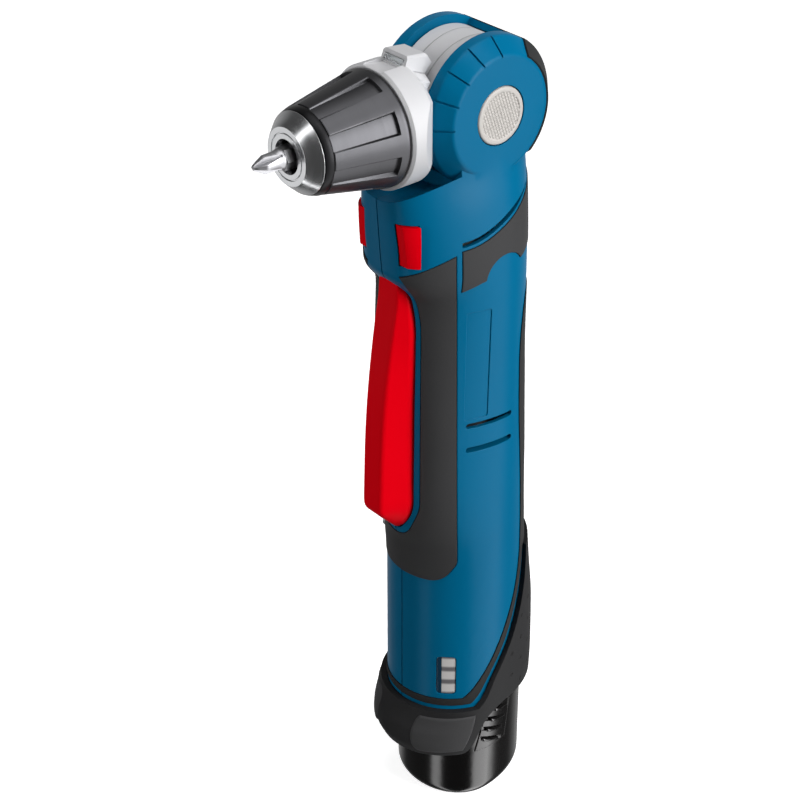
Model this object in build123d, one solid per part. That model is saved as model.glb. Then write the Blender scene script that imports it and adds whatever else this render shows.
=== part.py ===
"""Right angle drill driver: a battery tool with a tilting gear head.

Millimetres. The battery's flat foot stands at Z = 0 on the handle's axis. +Z runs up the handle, the chuck
points along -Y, and the head tilts about an axis along X through the middle of the fork.
"""
from build123d import *
import math
import os

import numpy as np

# Driving dimensions: the handle, from the foot up
LOWER_LENGTH = 123.5
TRIGGER_LENGTH = 84.0
NOSE_LENGTH = 32.0
PIVOT_RISE = 20.0
HANDLE_HALF_WIDTH = 22.0
HANDLE_FRONT = 22.8
HANDLE_REAR = 25.6
GRIP_HALF_WIDTH = 21.6
GRIP_FRONT = 31.0
GRIP_REAR = 21.2
NOSE_FRONT = 36.5
NECK_HALF_WIDTH = 16.5
TRIGGER_FRAME_FRONT = 25.2
NOSE_FACE_FRONT = 32.8
BASE_EDGE = 25.0
WALL = 1.5
DECK = 6.0
SHELF = 2.0
SHELF_DROP = 20.0
RIB = 2.5
SEAM_WIDTH = 0.35
SEAM_DEPTH = 0.5
VENT_LENGTH = 18.0
VENT_WIDTH = 1.9
VENT_PITCH = 8.8
VENT_COUNT = 2
VENT_TILT = -2.6
LABEL_WIDTH = 8.2
LABEL_HEIGHT = 38.0
LABEL_DEPTH = 0.3
LABEL_CORNER = 0.8
AIR_SLOT_STRIP = 1.1
AIR_SLOT_HEIGHT = 1.7
AIR_SLOT_TIP = 0.6
BARE_BOSS_RADIUS = 7.9
SHOULDER_FRONT = -15.3
WINDOW_WIDTH = 6.4
WINDOW_HEIGHT = 15.6
WINDOW_CORNER = 1.2
WINDOW_SUNK = 0.25
WINDOW_INSIDE = 0.8
SCREW_RADIUS = 1.5
SCREW_HEAD_RADIUS = 2.7
SCREW_HEAD = 2.2
SCREW_REACH = 12.0
SCREW_SUNK = 4.0
SCREW_SOCKET = 1.3
SCREW_BOSS_RADIUS = 3.9
HEAD_ROOM = 0.3

# Driving dimensions: the fork and the tilting head
CHEEK_RADIUS = 23.0
CHEEK_FACE_RADIUS = 18.4
CHEEK_HALF_WIDTH = 17.6
CHEEK_RIM_HALF_WIDTH = 12.6
BARREL_RADIUS = 20.5
BARREL_HALF_WIDTH = 8.75
BARREL_WALL = 1.6
FORK_GAP = 0.3
TRUNNION_RADIUS = 7.0
TRUNNION_REACH = 3.4
TRUNNION_BORE = 4.7
COLLAR_RADIUS = 18.9
COLLAR_REAR = 23.4
COLLAR_CREASE = 25.8
FACET_INNER = 14.0
FACET_LENGTH = 6.4
COLLAR_FRONT = 34.3
SCOOP_RADIUS = 22.8
BUMPER_FROM = -49.0
BUMPER_TO = 57.0
BUMPER_DEPTH = 1.3
BUTTON_RADIUS = 9.0
BUTTON_THICKNESS = 2.7
BUTTON_TRAVEL = 2.0
BUTTON_ROOM = 0.25
BUTTON_PROUD = 0.2
BRIDGE_TOP_ANGLE = 60.0
MARK_COUNT = 5
MARK_STEP = 22.5
MARK_SIZE = (7.5, 1.0, 0.55)
CHEEK_ROUND = 2.0
BOSS_OUTER = 12.0
SPINDLE_BEARING_RADIUS = 10.0
SPINDLE_BEARING_LENGTH = 7.6
AXLE_RADIUS = 2.5
PINION_SLOT_HALF = 5.2
PINION_SLOT_ROOM = 16.0
LAMP_FRONT = 26.7
LAMP_TOP = 21.0
LAMP_HALF = 5.3
LENS_SIZE = (8.3, 1.6, 2.1)
LAMP_BOARD_SIZE = (5.2, 2.0, 1.6)

# Driving dimensions: chuck and bit, measured forward from the tilt axis
CHUCK_NOSE = 65.3
CHUCK_NOSE_RADIUS = 9.1
CHUCK_CONE_RADIUS = 12.3
CHUCK_BODY_RADIUS = 10.5
SLEEVE_REAR = 34.8
SLEEVE_FRONT = 61.2
SLEEVE_REAR_RADIUS = 17.9
SLEEVE_SHOULDER = 58.4
SLEEVE_SHOULDER_RADIUS = 13.3
SLEEVE_FLUTES = 8
FLUTE_WIDTH = 7.6
FLUTE_DEPTH = 0.55
FLUTE_START = 64.0
SHANK_BORE = 5.2
SPINDLE_RADIUS = 4.0
JAW_RADIUS = 2.4
JAW_ANGLE = 15.0
JAW_TRAVEL = 6.5
JAW_COUNT = 3
BIT_ACROSS_FLATS = 6.35
BIT_TIP = 77.0
BIT_LENGTH = 25.0
BIT_TIP_LENGTH = 9.5
BIT_NECK_RADIUS = 2.7
JAW_FRONT = 62.4
JAW_BACK = 49.5
SPINDLE_FRONT = 44.6
SHANK_BORE_REAR = 46.5
NOSE_GROOVE = (6.7, 7.1)
NOSE_GROOVE_DEPTH = 0.3
SLEEVE_WALL = 2.3
SLEEVE_LIP_REAR = 53.0
FLUTE_LENGTH = 19.0
FLUTE_REAR = 3.2
NUT_REAR = 41.0
NUT_FRONT = 46.0
NUT_ROOM = 1.8

# Driving dimensions: gears
BEVEL_DISTANCE = 15.0
BEVEL_FACE = 4.0
PINION_TEETH = 16
IDLER_TEETH = 48
PLANET_MODULE = 0.55
SUN_TEETH = 12
PLANET_TEETH = 18
RING_TEETH = 48
GEAR_WIDTH = 8.0
BACKLASH = 0.16
IDLER_HUB = 1.4
PINION_BORE = 2.2
PINION_HUB = 4.2
PINION_HUB_LENGTH = 3.4
SPINDLE_HUB_LENGTH = 2.6
GEAR_CASE_RADIUS = 16.3
GEAR_CASE_WALL = 1.2
GEAR_CASE_LENGTH = 25.5
GEAR_RISE = 6.0
CARRIER_RADIUS = 11.5
CARRIER_THICKNESS = 3.2
PLANET_PIN_RADIUS = 1.5
BEARING_RADIUS = 6.5

# Driving dimensions: motor, trigger, selector and battery
MOTOR_RADIUS = 14.0
MOTOR_LENGTH = 52.0
MOTOR_SHAFT_RADIUS = 1.5
MOTOR_CAN_WALL = 1.2
MOTOR_FLANGE = 1.6
MOTOR_CAP_LENGTH = 6.0
MAGNET_THICKNESS = 1.6
AIR_GAP = 0.5
COMMUTATOR_RADIUS = 4.4
ROTOR_SLOTS = 8
ROTOR_MIDDLE = 24.0
FAN_BLADES = 8
FAN_HUB_RADIUS = 4.0
DRIVE_SHAFT_RADIUS = 3.0
TRIGGER_HALF_WIDTH = 8.1
TRIGGER_RIDGE_HALF = 4.4
TRIGGER_BASE = 26.0
TRIGGER_BACK = 20.0
TRIGGER_WALL = 2.0
TRIGGER_RIB = 2.0
HINGE_Y = -22.0
HINGE_PIN_RADIUS = 1.5
HINGE_PIN_HALF = 13.0
EAR_WIDTH = 11.0
EAR_DEPTH = 4.8
STOP_WIDTH = 19.0
STOP_HEIGHT = 5.2
PAD_WIDTH = 15.0
PAD_HEIGHT = 8.0
SWITCH_FRONT = -12.5
SWITCH_SIZE = (20.0, 18.0, 34.0)
PLUNGER_RADIUS = 3.0
SELECTOR_REAR = -27.5
SELECTOR_GAP = 0.3
SELECTOR_TOP_WIDTH = 3.9
SELECTOR_BOTTOM_WIDTH = 2.7
SELECTOR_HEIGHT = 13.6
SELECTOR_TRAVEL = 2.0
CELL_RADIUS = 8.9
CELL_LENGTH = 65.0
STEM_WALL = 0.7
FOOT_HEIGHT = 47.5
STEM_TOP = 85.5
FOOT_ROUND = 5.0
FOOT_FRONT = 17.4
FOOT_REAR = 27.4
CELL_SHIFT = 2.3
BATTERY_GAP = 0.35
CELL_FLOOR = 6.0
CELL_ROOM = 2.0
CONTACT_PLACES = (-6.0, 0.0, 6.0)
CONTACT_Y = -2.0
CONTACT_SIZE = (0.8, 6.0, 7.0)
TERMINAL_SIZE = (20.0, 12.0)
LATCH_TRAVEL = 0.8
LATCH_DEPTH = 1.2
LATCH_FRONT = -5.5
LATCH_REAR = 11.0
LATCH_PROUD = 0.25
LATCH_GAP = 0.3
LATCH_GROOVES = 4
LATCH_PITCH = 4.0

# Driving dimensions: rubber
RUBBER_DEPTH = 1.1
RUBBER_PROUD = 0.3
RUBBER_GAP = 0.18
BAND_WIDTH = 2.6
LINE_WIDTH = 1.6

# Clearances, and how finely a skin is sampled
RUNNING = 0.05
FIT = 0.1
SEAT = 0.15
SLIDE_GAP = 0.35
SURFACE_ROWS = 61
SURFACE_COLUMNS = 41
CORNER_SHARPNESS = 14.0

# Heights and places worked out from those
trigger_bottom = LOWER_LENGTH
trigger_top = trigger_bottom + TRIGGER_LENGTH
nose_top = trigger_top + NOSE_LENGTH
pivot = nose_top + PIVOT_RISE
cavity_top = nose_top - DECK
fork_half = BARREL_HALF_WIDTH + FORK_GAP
tilt_axis = Axis((0, 0, pivot), (1, 0, 0))
chuck_axis = Axis((0, 0, pivot), (0, -1, 0))

os.makedirs("parts", exist_ok=True)


def monotone(height, knots, values):
    """Smooth curve through the knots that never overshoots them."""
    span = np.diff(knots)
    slope = np.diff(values) / span
    tangent = np.zeros_like(values)
    tangent[0] = slope[0]
    tangent[-1] = slope[-1]
    first = 2 * span[1:] + span[:-1]
    second = span[1:] + 2 * span[:-1]
    same_way = slope[1:] * slope[:-1] > 0
    safe_low = np.where(same_way, slope[:-1], 1.0)
    safe_high = np.where(same_way, slope[1:], 1.0)
    mean = (first + second) / (first / safe_low + second / safe_high)
    tangent[1:-1] = np.where(same_way, mean, 0.0)
    index = np.clip(np.searchsorted(knots, height) - 1, 0, len(knots) - 2)
    width = span[index]
    t = (height - knots[index]) / width
    low = (1 + 2 * t) * (1 - t) ** 2 * values[index] + t * (1 - t) ** 2 * width * tangent[index]
    high = t * t * (3 - 2 * t) * values[index + 1] + t * t * (t - 1) * width * tangent[index + 1]
    return low + high


# Stations up the handle: height, half width, front depth, rear depth, flat front plane
no_plane = 1.8 * HANDLE_FRONT
handle_stations = np.array([
    (0.0, HANDLE_HALF_WIDTH, HANDLE_FRONT, HANDLE_REAR, no_plane),
    (60.0, HANDLE_HALF_WIDTH, HANDLE_FRONT, HANDLE_REAR, no_plane),
    (trigger_bottom - 28, HANDLE_HALF_WIDTH, HANDLE_FRONT, HANDLE_REAR - 0.4, no_plane),
    (trigger_bottom - 14, HANDLE_HALF_WIDTH, HANDLE_FRONT + 1.0, HANDLE_REAR - 1.2, TRIGGER_FRAME_FRONT + 8),
    (trigger_bottom - 2, HANDLE_HALF_WIDTH, GRIP_FRONT - 3.2, HANDLE_REAR - 1.9, TRIGGER_FRAME_FRONT + 1.2),
    (trigger_bottom + 14, HANDLE_HALF_WIDTH, GRIP_FRONT - 0.8, HANDLE_REAR - 2.5, TRIGGER_FRAME_FRONT + 0.5),
    (trigger_bottom + 38, GRIP_HALF_WIDTH, GRIP_FRONT, GRIP_REAR + 1.0, TRIGGER_FRAME_FRONT + 0.1),
    (trigger_top - 24, GRIP_HALF_WIDTH, GRIP_FRONT - 1.6, GRIP_REAR, TRIGGER_FRAME_FRONT),
    (trigger_top - 5, GRIP_HALF_WIDTH, GRIP_FRONT - 2.6, GRIP_REAR, TRIGGER_FRAME_FRONT + 0.2),
    (trigger_top + 4, GRIP_HALF_WIDTH - 0.2, NOSE_FRONT - 2.2, GRIP_REAR, NOSE_FACE_FRONT - 1.6),
    (trigger_top + 9, GRIP_HALF_WIDTH - 0.4, NOSE_FRONT - 1.5, GRIP_REAR, NOSE_FACE_FRONT - 1.0),
    (nose_top - 8, NECK_HALF_WIDTH + 3.4, NOSE_FRONT, GRIP_REAR, NOSE_FACE_FRONT + 0.2),
    (nose_top + 4, NECK_HALF_WIDTH + 1.4, NOSE_FRONT + 0.5, GRIP_REAR - 0.2, NOSE_FACE_FRONT + 1.2),
    (pivot, NECK_HALF_WIDTH, NOSE_FRONT + 0.5, GRIP_REAR - 0.7, NOSE_FACE_FRONT + 2.2),
])

# Stations of the rubber boot's outside, with the lip that stands out in front
boot_stations = np.array([
    (BASE_EDGE - 6, HANDLE_HALF_WIDTH + 1.2, HANDLE_FRONT + 1.4, HANDLE_REAR + 0.8, no_plane),
    (BASE_EDGE, HANDLE_HALF_WIDTH + 1.4, HANDLE_FRONT + 3.6, HANDLE_REAR + 1.0, no_plane),
    (BASE_EDGE + 5.5, HANDLE_HALF_WIDTH + 2.0, HANDLE_FRONT + 5.8, HANDLE_REAR + 2.0, no_plane),
    (BASE_EDGE + 10, HANDLE_HALF_WIDTH + 2.2, HANDLE_FRONT + 5.2, HANDLE_REAR + 3.2, no_plane),
    (BASE_EDGE + 14.5, HANDLE_HALF_WIDTH + 2.2, HANDLE_FRONT + 3.4, HANDLE_REAR + 3.9, no_plane),
    (BASE_EDGE + 19, HANDLE_HALF_WIDTH + 2.2, HANDLE_FRONT + 2.4, HANDLE_REAR + 4.3, no_plane),
    (BASE_EDGE + 27, HANDLE_HALF_WIDTH + 2.1, HANDLE_FRONT + 1.6, HANDLE_REAR + 4.7, no_plane),
    (BASE_EDGE + 48, HANDLE_HALF_WIDTH + 1.9, HANDLE_FRONT + 1.4, HANDLE_REAR + 4.2, no_plane),
    (BASE_EDGE + 66, HANDLE_HALF_WIDTH + 1.4, HANDLE_FRONT + 1.2, HANDLE_REAR + 2.2, no_plane),
    (BASE_EDGE + 86, HANDLE_HALF_WIDTH + 0.7, HANDLE_FRONT + 0.8, HANDLE_REAR + 0.2, no_plane),
])


def radius_at(angle, height, stations):
    """Distance from the handle's axis to its skin, angle 0 at the front.

    Each section is two half ellipses, a front and a rear one, softly cut by the flat front plane.
    """
    half, front, rear, plane = (monotone(height, stations[:, 0], stations[:, i]) for i in (1, 2, 3, 4))
    depth = np.where(np.cos(angle) > 0, front, rear)
    oval = 1 / np.sqrt((np.sin(angle) / half) ** 2 + (np.cos(angle) / depth) ** 2)
    flat = np.clip(np.cos(angle), 0, None) / plane
    return (oval ** -CORNER_SHARPNESS + flat ** CORNER_SHARPNESS) ** (-1 / CORNER_SHARPNESS)


def skin_half(grow, low, high, stations=handle_stations):
    """The +X half of the handle as a solid, grown outwards by a distance, between two heights."""
    angle = np.linspace(0, math.pi, SURFACE_COLUMNS)
    sine = np.sin(angle)
    sine[0] = 0.0
    sine[-1] = 0.0
    rows = []
    for height in np.linspace(low, high, SURFACE_ROWS):
        radius = radius_at(angle, np.full_like(angle, height), stations) + grow
        across = radius * sine
        along = -radius * np.cos(angle)
        rows.append([Vector(float(x), float(y), float(height)) for x, y in zip(across, along)])
    surface = Face.make_surface_from_array_of_points(rows, tol=0.02)
    edges = surface.edges()
    bottom = min(edges, key=lambda edge: edge.center().Z)
    top = max(edges, key=lambda edge: edge.center().Z)
    sides = [edge for edge in edges if edge is not bottom and edge is not top]
    bottom_line = Edge.make_line(bottom @ 1, bottom @ 0)
    top_line = Edge.make_line(top @ 1, top @ 0)
    bottom_cap = Face(Wire([bottom, bottom_line]))
    top_cap = Face(Wire([top, top_line]))
    middle = Face(Wire([*sides, bottom_line, top_line]))
    return Solid(Shell([surface, bottom_cap, top_cap, middle]))


made_skins = {}


def skin(grow):
    """The handle's +X half grown by a distance. Each one is made once."""
    if grow not in made_skins:
        made_skins[grow] = skin_half(grow, 10.0, pivot)
    return made_skins[grow]


def both_sides(half):
    """A half and its mirror image, joined at the middle plane."""
    return half + half.mirror(Plane.YZ)


def about_tilt(shape, angle):
    """Turn a shape about the tilt axis."""
    return shape.rotate(tilt_axis, angle)


def chuck_turned(points):
    """Solid of revolution about the chuck axis from points of (distance forward, radius)."""
    outline = Polyline(*[(0, -forward, pivot + radius) for forward, radius in points], close=True)
    return revolve(make_face(outline), chuck_axis, 360)


def tilt_turned(points, start=0.0, sweep=360.0):
    """Solid of revolution about the tilt axis from points of (sideways, radius), from +Y upwards."""
    outline = Polyline(*[(across, radius, pivot) for across, radius in points], close=True)
    return about_tilt(revolve(make_face(outline), tilt_axis, sweep), start)


def handle_turned(points):
    """Solid of revolution about the handle's axis from points of (height, radius)."""
    outline = Polyline(*[(radius, 0, height) for height, radius in points], close=True)
    return revolve(make_face(outline), Axis.Z, 360)


def side_block(wire_or_lines, low=0.0, high=60.0):
    """Prism along X from an outline of (Y, Z) lines drawn on the side plane."""
    face = make_face(wire_or_lines)
    return Pos(low, 0, 0) * extrude(Plane.YZ * face, high - low)


corner_plane = Plane(origin=(0, 0, 0), x_dir=(1, 1, 0), z_dir=(1, -1, 0))


def corner_block(lines, low=2.0, high=60.0):
    """Prism along the front corner direction from an outline of (sideways, Z) lines."""
    return extrude(corner_plane * (Pos(0, 0, low) * make_face(lines)), high - low)


def save(node, shape):
    """Write one node's solids."""
    solids = [solid for solid in shape.solids() if solid.volume > 0.05]
    export_step(solids[0] if len(solids) == 1 else Compound(solids), f"parts/{node}.step")


def grip_outline(gap):
    """Outline of the rubber grip panel, square to the front corner: sideways place and height."""
    middle = -18.5 - gap
    front = -9.6 - gap
    low = trigger_bottom - 25.7 - gap
    rear_low = (2.4 + gap, low + 8.8)
    rear_top = (0.7 + gap, trigger_top + 12.0 + gap)
    front_top = (-16.2 - gap, trigger_top + 5.1 + gap)
    edge_top = (front, trigger_top - 16)
    edge_low = (front, trigger_bottom + 7)
    chin = (middle, trigger_bottom - 9.6 + gap)
    lines = [
        Spline(chin, (front - 2.4, trigger_bottom - 2.4), edge_low, tangents=[(1, 0.1), (0, 1)]),
        Line(edge_low, edge_top),
        Spline(
            edge_top,
            (front - 3.0, trigger_top - 2),
            (front - 4.8, trigger_top + 2.4),
            front_top,
            tangents=[(0, 1), (-0.55, 1), (-0.6, 1), (-0.7, 1)],
        ),
        Line(front_top, rear_top),
        Line(rear_top, rear_low),
        Spline(
            rear_low,
            (0.2 + gap, low + 4.4),
            (-4.5, low + 0.6),
            (-9.0, low + 0.1),
            tangents=[(-0.1, -1), (-0.6, -1), (-1, -0.3), (-1, 0)],
        ),
        Line((-9.0, low + 0.1), (middle, low)),
        Line((middle, low), chin),
    ]
    return lines


# The rubber shoulder panel goes round a bare blue boss
boss_centre = (0.5, trigger_top + 0.5)
shoulder_top = trigger_top + 13.1


def shoulder_crest(lift):
    """Points of the shoulder panel's upper edge, from the front to the back, raised by a lift."""
    return [
        (SHOULDER_FRONT, shoulder_top + lift),
        (-7.7, shoulder_top + 1.3 + lift),
        (-2.0, shoulder_top + 3.5 + lift),
        (4.8, shoulder_top + 6.8 + lift),
        (13.0, shoulder_top + 11.5 + lift),
    ]


def shoulder_outline(gap):
    """Outline of the shoulder panel, grown by a gap: Y and Z on the side plane."""
    low = trigger_top - 0.5 - gap
    front = SHOULDER_FRONT - gap
    crest = [(front, shoulder_top + gap)] + shoulder_crest(gap)[1:]
    lines = [
        Line((front, low), crest[0]),
        Spline(*crest, tangents=[(1, 0.05), (1, 0.6)]),
        Line(crest[-1], (24.0, shoulder_top + 18.0)),
        Line((24.0, shoulder_top + 18.0), (24.0, low + 11)),
        Spline(
            (24.0, low + 11),
            (13.9, low + 7.1),
            (8.0, low + 5.2),
            tangents=[(-1, -0.4), (-1, -0.3), (-1, -0.3)],
        ),
        Line((8.0, low + 5.2), (-8.9, low + 1.8)),
        Line((-8.9, low + 1.8), (front, low)),
    ]
    return lines


def air_slot():
    """The curved air outlet above the shoulder panel, thinner towards the back."""
    lower = shoulder_crest(AIR_SLOT_STRIP)
    tip = (lower[-1][0], lower[-1][1] + AIR_SLOT_TIP)
    upper = [(y, z + AIR_SLOT_HEIGHT) for y, z in lower[:-1]] + [tip]
    outline = [
        Spline(*lower, tangents=[(1, 0.05), (1, 0.6)]),
        Line(lower[-1], upper[-1]),
        Spline(*upper[::-1], tangents=[(-1, -0.6), (-1, -0.05)]),
        Line(upper[0], lower[0]),
    ]
    return side_block(outline) - skin(-3.5)


def label_recess():
    """The shallow bare panel beside the grip."""
    frame = Rot(0, 0, -1) * RectangleRounded(LABEL_WIDTH, LABEL_HEIGHT, LABEL_CORNER)
    outline = Pos(-9.4, trigger_bottom + 56.5) * frame
    return extrude(Plane.YZ * outline, 60) - skin(-LABEL_DEPTH)


def shoulder_block(gap):
    """The shoulder panel's prism with the boss cut out of it."""
    boss = Pos(0, *boss_centre) * extrude(Plane.YZ * Circle(BARE_BOSS_RADIUS - gap), 60)
    return side_block(shoulder_outline(gap)) - boss


# The base: the blue skin ends along a V, the rubber band follows it, then a thin blue line, then the boot
def v_line(drop):
    """Points of the V shaped edge at the base, lowered square to itself."""
    return [
        (-11.5 + 0.9 * drop, BASE_EDGE + 23.2 - drop),
        (-6.0 + 0.88 * drop, BASE_EDGE + 30.0 - 0.5 * drop),
        (1.5 + 0.87 * drop, BASE_EDGE + 42.2 - 0.5 * drop),
        (7.1 + 0.9 * drop, BASE_EDGE + 53.5 - 0.45 * drop),
        (10.8 + 0.96 * drop, BASE_EDGE + 64.0 - 0.3 * drop),
        (12.6 + drop, BASE_EDGE + 75.0 - 0.2 * drop),
    ]


def spine_outline(gap):
    """Outline of the spine and the band round the base: Y and Z on the side plane."""
    upper = v_line(-gap)
    lower = v_line(BAND_WIDTH + gap)
    front = -42.0
    rear = 34.0
    lines = [
        Line((front, BASE_EDGE + 23.2 + gap), upper[0]),
        Spline(*upper, tangents=[(1, 0.9), (0.1, 1)]),
        Spline(
            upper[-1],
            (10.6 - gap, trigger_bottom + 18),
            (9.0 - gap, trigger_top - 34),
            (10.2 - gap, trigger_top - 19),
            (15.0 - gap, trigger_top - 9 + gap),
            tangents=[(0.05, 1), (-0.1, 1), (-0.03, 1), (0.2, 1), (0.9, 0.6)],
        ),
        Line((15.0 - gap, trigger_top - 9 + gap), (rear, trigger_top - 6)),
        Line((rear, trigger_top - 6), (rear, lower[-1][1] + 5.0)),
        Line((rear, lower[-1][1] + 5.0), lower[-1]),
        Spline(*lower[::-1], tangents=[(-0.1, -1), (-1, -0.9)]),
        Line(lower[0], (front, BASE_EDGE + 23.2 - BAND_WIDTH - gap)),
        Line((front, BASE_EDGE + 23.2 - BAND_WIDTH - gap), (front, BASE_EDGE + 23.2 + gap)),
    ]
    return lines


def base_curve(lift):
    """Lower edge of the boot on the side plane: low at the front, high where the latches show."""
    return [
        (-13.0 - 0.3 * lift, BASE_EDGE + lift),
        (-9.6 - 0.7 * lift, BASE_EDGE + 3.4 + lift),
        (-3.6 - 0.7 * lift, BASE_EDGE + 14.6 + 0.7 * lift),
        (2.0, BASE_EDGE + 17.6 + lift),
        (10.0, BASE_EDGE + 18.2 + lift),
    ]


def boot_outline():
    """Outline of the boot under the band and the thin line: Y and Z on the side plane."""
    upper = v_line(BAND_WIDTH + LINE_WIDTH)
    lower = base_curve(0)
    front = -42.0
    rear = 34.0
    top = BASE_EDGE + 23.2 - BAND_WIDTH - LINE_WIDTH
    rear_top = upper[-1][1] + 5.0
    lines = [
        Line((front, lower[0][1]), lower[0]),
        Spline(*lower, tangents=[(1, 0.15), (1, 0)]),
        Line(lower[-1], (rear, lower[-1][1])),
        Line((rear, lower[-1][1]), (rear, rear_top)),
        Line((rear, rear_top), upper[-1]),
        Spline(*upper[::-1], tangents=[(-0.1, -1), (-1, -0.9)]),
        Line(upper[0], (front, top)),
        Line((front, top), (front, lower[0][1])),
    ]
    return lines


def below_base(lift):
    """Everything under the lower edge of the housing."""
    edge = base_curve(lift)
    lines = [
        Line((-50, edge[0][1]), edge[0]),
        Spline(*edge, tangents=[(1, 0.15), (1, 0)]),
        Line(edge[-1], (50, edge[-1][1])),
        Line((50, edge[-1][1]), (50, -20)),
        Line((50, -20), (-50, -20)),
        Line((-50, -20), (-50, edge[0][1])),
    ]
    return side_block(lines, -60, 60)


# Shapes that several pieces share
core_half = skin(-RUBBER_DEPTH)
proud_half = skin(RUBBER_PROUD)
plain_half = skin(0.0)
rubber_floor = skin(SEAT - RUBBER_DEPTH)
under_top = (Align.CENTER, Align.CENTER, Align.MAX)
below_deck = Pos(0, 0, cavity_top) * Box(200, 200, 2 * cavity_top, align=under_top)
cavity_half = skin(-WALL) & below_deck
scoop = Pos(0, -38, pivot) * Rot(90, 0, 0) * Cylinder(SCOOP_RADIUS, 48)

cheek_profile = [
    (fork_half, 0),
    (fork_half, CHEEK_RADIUS),
    (CHEEK_RIM_HALF_WIDTH, CHEEK_RADIUS),
    (CHEEK_HALF_WIDTH, CHEEK_FACE_RADIUS),
    (CHEEK_HALF_WIDTH, 0),
]


def cheek():
    """One fork cheek with its rounded rim, before its pocket and marks are cut."""
    body = tilt_turned(cheek_profile)
    rims = [edge for edge in body.edges().filter_by(GeomType.CIRCLE) if edge.radius > CHEEK_FACE_RADIUS - 1]
    outer = [edge for edge in rims if edge.center().X > fork_half + 1]
    return fillet(outer, CHEEK_ROUND)


def button_pocket():
    """Room in a cheek for the release button, its spring and the head's trunnion."""
    pocket_floor = fork_half + TRUNNION_REACH
    pocket = Pos(pocket_floor + 10, 0, pivot) * Rot(0, 90, 0) * Cylinder(BUTTON_RADIUS + BUTTON_ROOM, 20)
    bore = Pos(pocket_floor - 5, 0, pivot) * Rot(0, 90, 0) * Cylinder(TRUNNION_RADIUS + RUNNING, 12)
    return pocket + bore


def angle_marks():
    """Engraved marks on the cheek's bevel, one for each click of the head."""
    bevel_width = CHEEK_HALF_WIDTH - CHEEK_RIM_HALF_WIDTH
    slope = math.degrees(math.atan2(CHEEK_RADIUS - CHEEK_FACE_RADIUS, bevel_width))
    middle_x = (CHEEK_HALF_WIDTH + CHEEK_RIM_HALF_WIDTH) / 2
    middle_r = (CHEEK_RADIUS + CHEEK_FACE_RADIUS) / 2
    groove = Pos(middle_x, -middle_r, pivot) * Rot(0, 0, slope) * Box(*MARK_SIZE)
    return [about_tilt(groove, -MARK_STEP * step) for step in range(MARK_COUNT)]


def fork_cut():
    """Room for the barrel between the cheeks, open to the front and the top."""
    width = 2 * fork_half
    drum = Pos(0, 0, pivot) * Rot(0, 90, 0) * Cylinder(BARREL_RADIUS + FORK_GAP, width)
    front = Pos(0, -30, pivot + 10) * Box(width, 60, 2 * (COLLAR_RADIUS - 1) + 20)
    bridge_y = (BARREL_RADIUS + FORK_GAP) * math.cos(math.radians(BRIDGE_TOP_ANGLE))
    top = Pos(0, bridge_y - 30, pivot + 30) * Box(width, 60, 60)
    return drum + front + top


bumper_profile = [
    (0, CHEEK_RADIUS + 0.2),
    (CHEEK_RIM_HALF_WIDTH + 0.5, CHEEK_RADIUS + 0.2),
    (CHEEK_HALF_WIDTH + 0.1, CHEEK_FACE_RADIUS + 0.6),
    (CHEEK_HALF_WIDTH - 0.9, CHEEK_FACE_RADIUS - 0.4),
    (CHEEK_RIM_HALF_WIDTH - 0.6, CHEEK_RADIUS - BUMPER_DEPTH),
    (0, CHEEK_RADIUS - BUMPER_DEPTH),
]


def bumper_half(gap):
    """The +X half of the rubber over the back of the fork."""
    room = math.degrees(gap / CHEEK_RADIUS)
    outside = bumper_profile[:3]
    inside = [(across, radius - gap) for across, radius in bumper_profile[3:]]
    return tilt_turned(outside + inside, BUMPER_FROM - room, BUMPER_TO - BUMPER_FROM + 2 * room)


# Screws, ribs and other places inside the handle: Y and Z of each screw
screw_places = [
    (-20.4, nose_top - 14),
    (GRIP_REAR - 4.4, trigger_top - 19),
    (HANDLE_REAR - 6.8, trigger_bottom + 3),
    (5.0 - HANDLE_FRONT, trigger_bottom - 14),
    (HANDLE_REAR - 8.0, trigger_bottom - 17.5),
]

gear_bottom = cavity_top - GEAR_CASE_LENGTH
motor_top = gear_bottom
teeth_low = gear_bottom + GEAR_RISE
motor_bottom = motor_top - MOTOR_LENGTH
end_cap_bottom = motor_bottom - MOTOR_CAP_LENGTH
shelf_top = trigger_bottom - SHELF_DROP
pinion_floor = pivot - BEVEL_DISTANCE

hinge_z = trigger_top + 4.5
plunger_z = trigger_bottom + 12

selector_low = trigger_top + 9.4


def selector_outline(gap):
    """Outline of the selector bar, narrower at the bottom, grown by a gap."""
    top = selector_low + SELECTOR_HEIGHT + gap
    low = selector_low - gap
    rear = SELECTOR_REAR + gap
    return Polyline(
        (rear, low),
        (rear, top),
        (rear - SELECTOR_TOP_WIDTH - 2 * gap, top),
        (rear - SELECTOR_BOTTOM_WIDTH - 2 * gap, low),
        close=True,
    )


# Trigger sections: height and ridge depth
trigger_sections = [
    (trigger_bottom - 8, 36.1),
    (trigger_bottom + 4, 35.9),
    (trigger_bottom + 25, 35.2),
    (trigger_bottom + 37, 34.6),
    (trigger_bottom + 50, 33.6),
    (trigger_bottom + 60, 32.4),
    (trigger_bottom + 70, 31.0),
    (trigger_top - 7, 29.3),
    (trigger_top + 1.2, 28.2),
]


def trigger_section(height, ridge, inset):
    """Six sided section of the paddle: straight cheeks up to the base, then slopes to a flat ridge."""
    half = TRIGGER_HALF_WIDTH - inset
    ridge_half = TRIGGER_RIDGE_HALF - 0.4 * inset
    return Pos(0, 0, height) * make_face(Polyline(
        (-half, -TRIGGER_BACK),
        (half, -TRIGGER_BACK),
        (half, inset - TRIGGER_BASE),
        (ridge_half, inset - ridge),
        (-ridge_half, inset - ridge),
        (-half, inset - TRIGGER_BASE),
        close=True,
    ))


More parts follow.
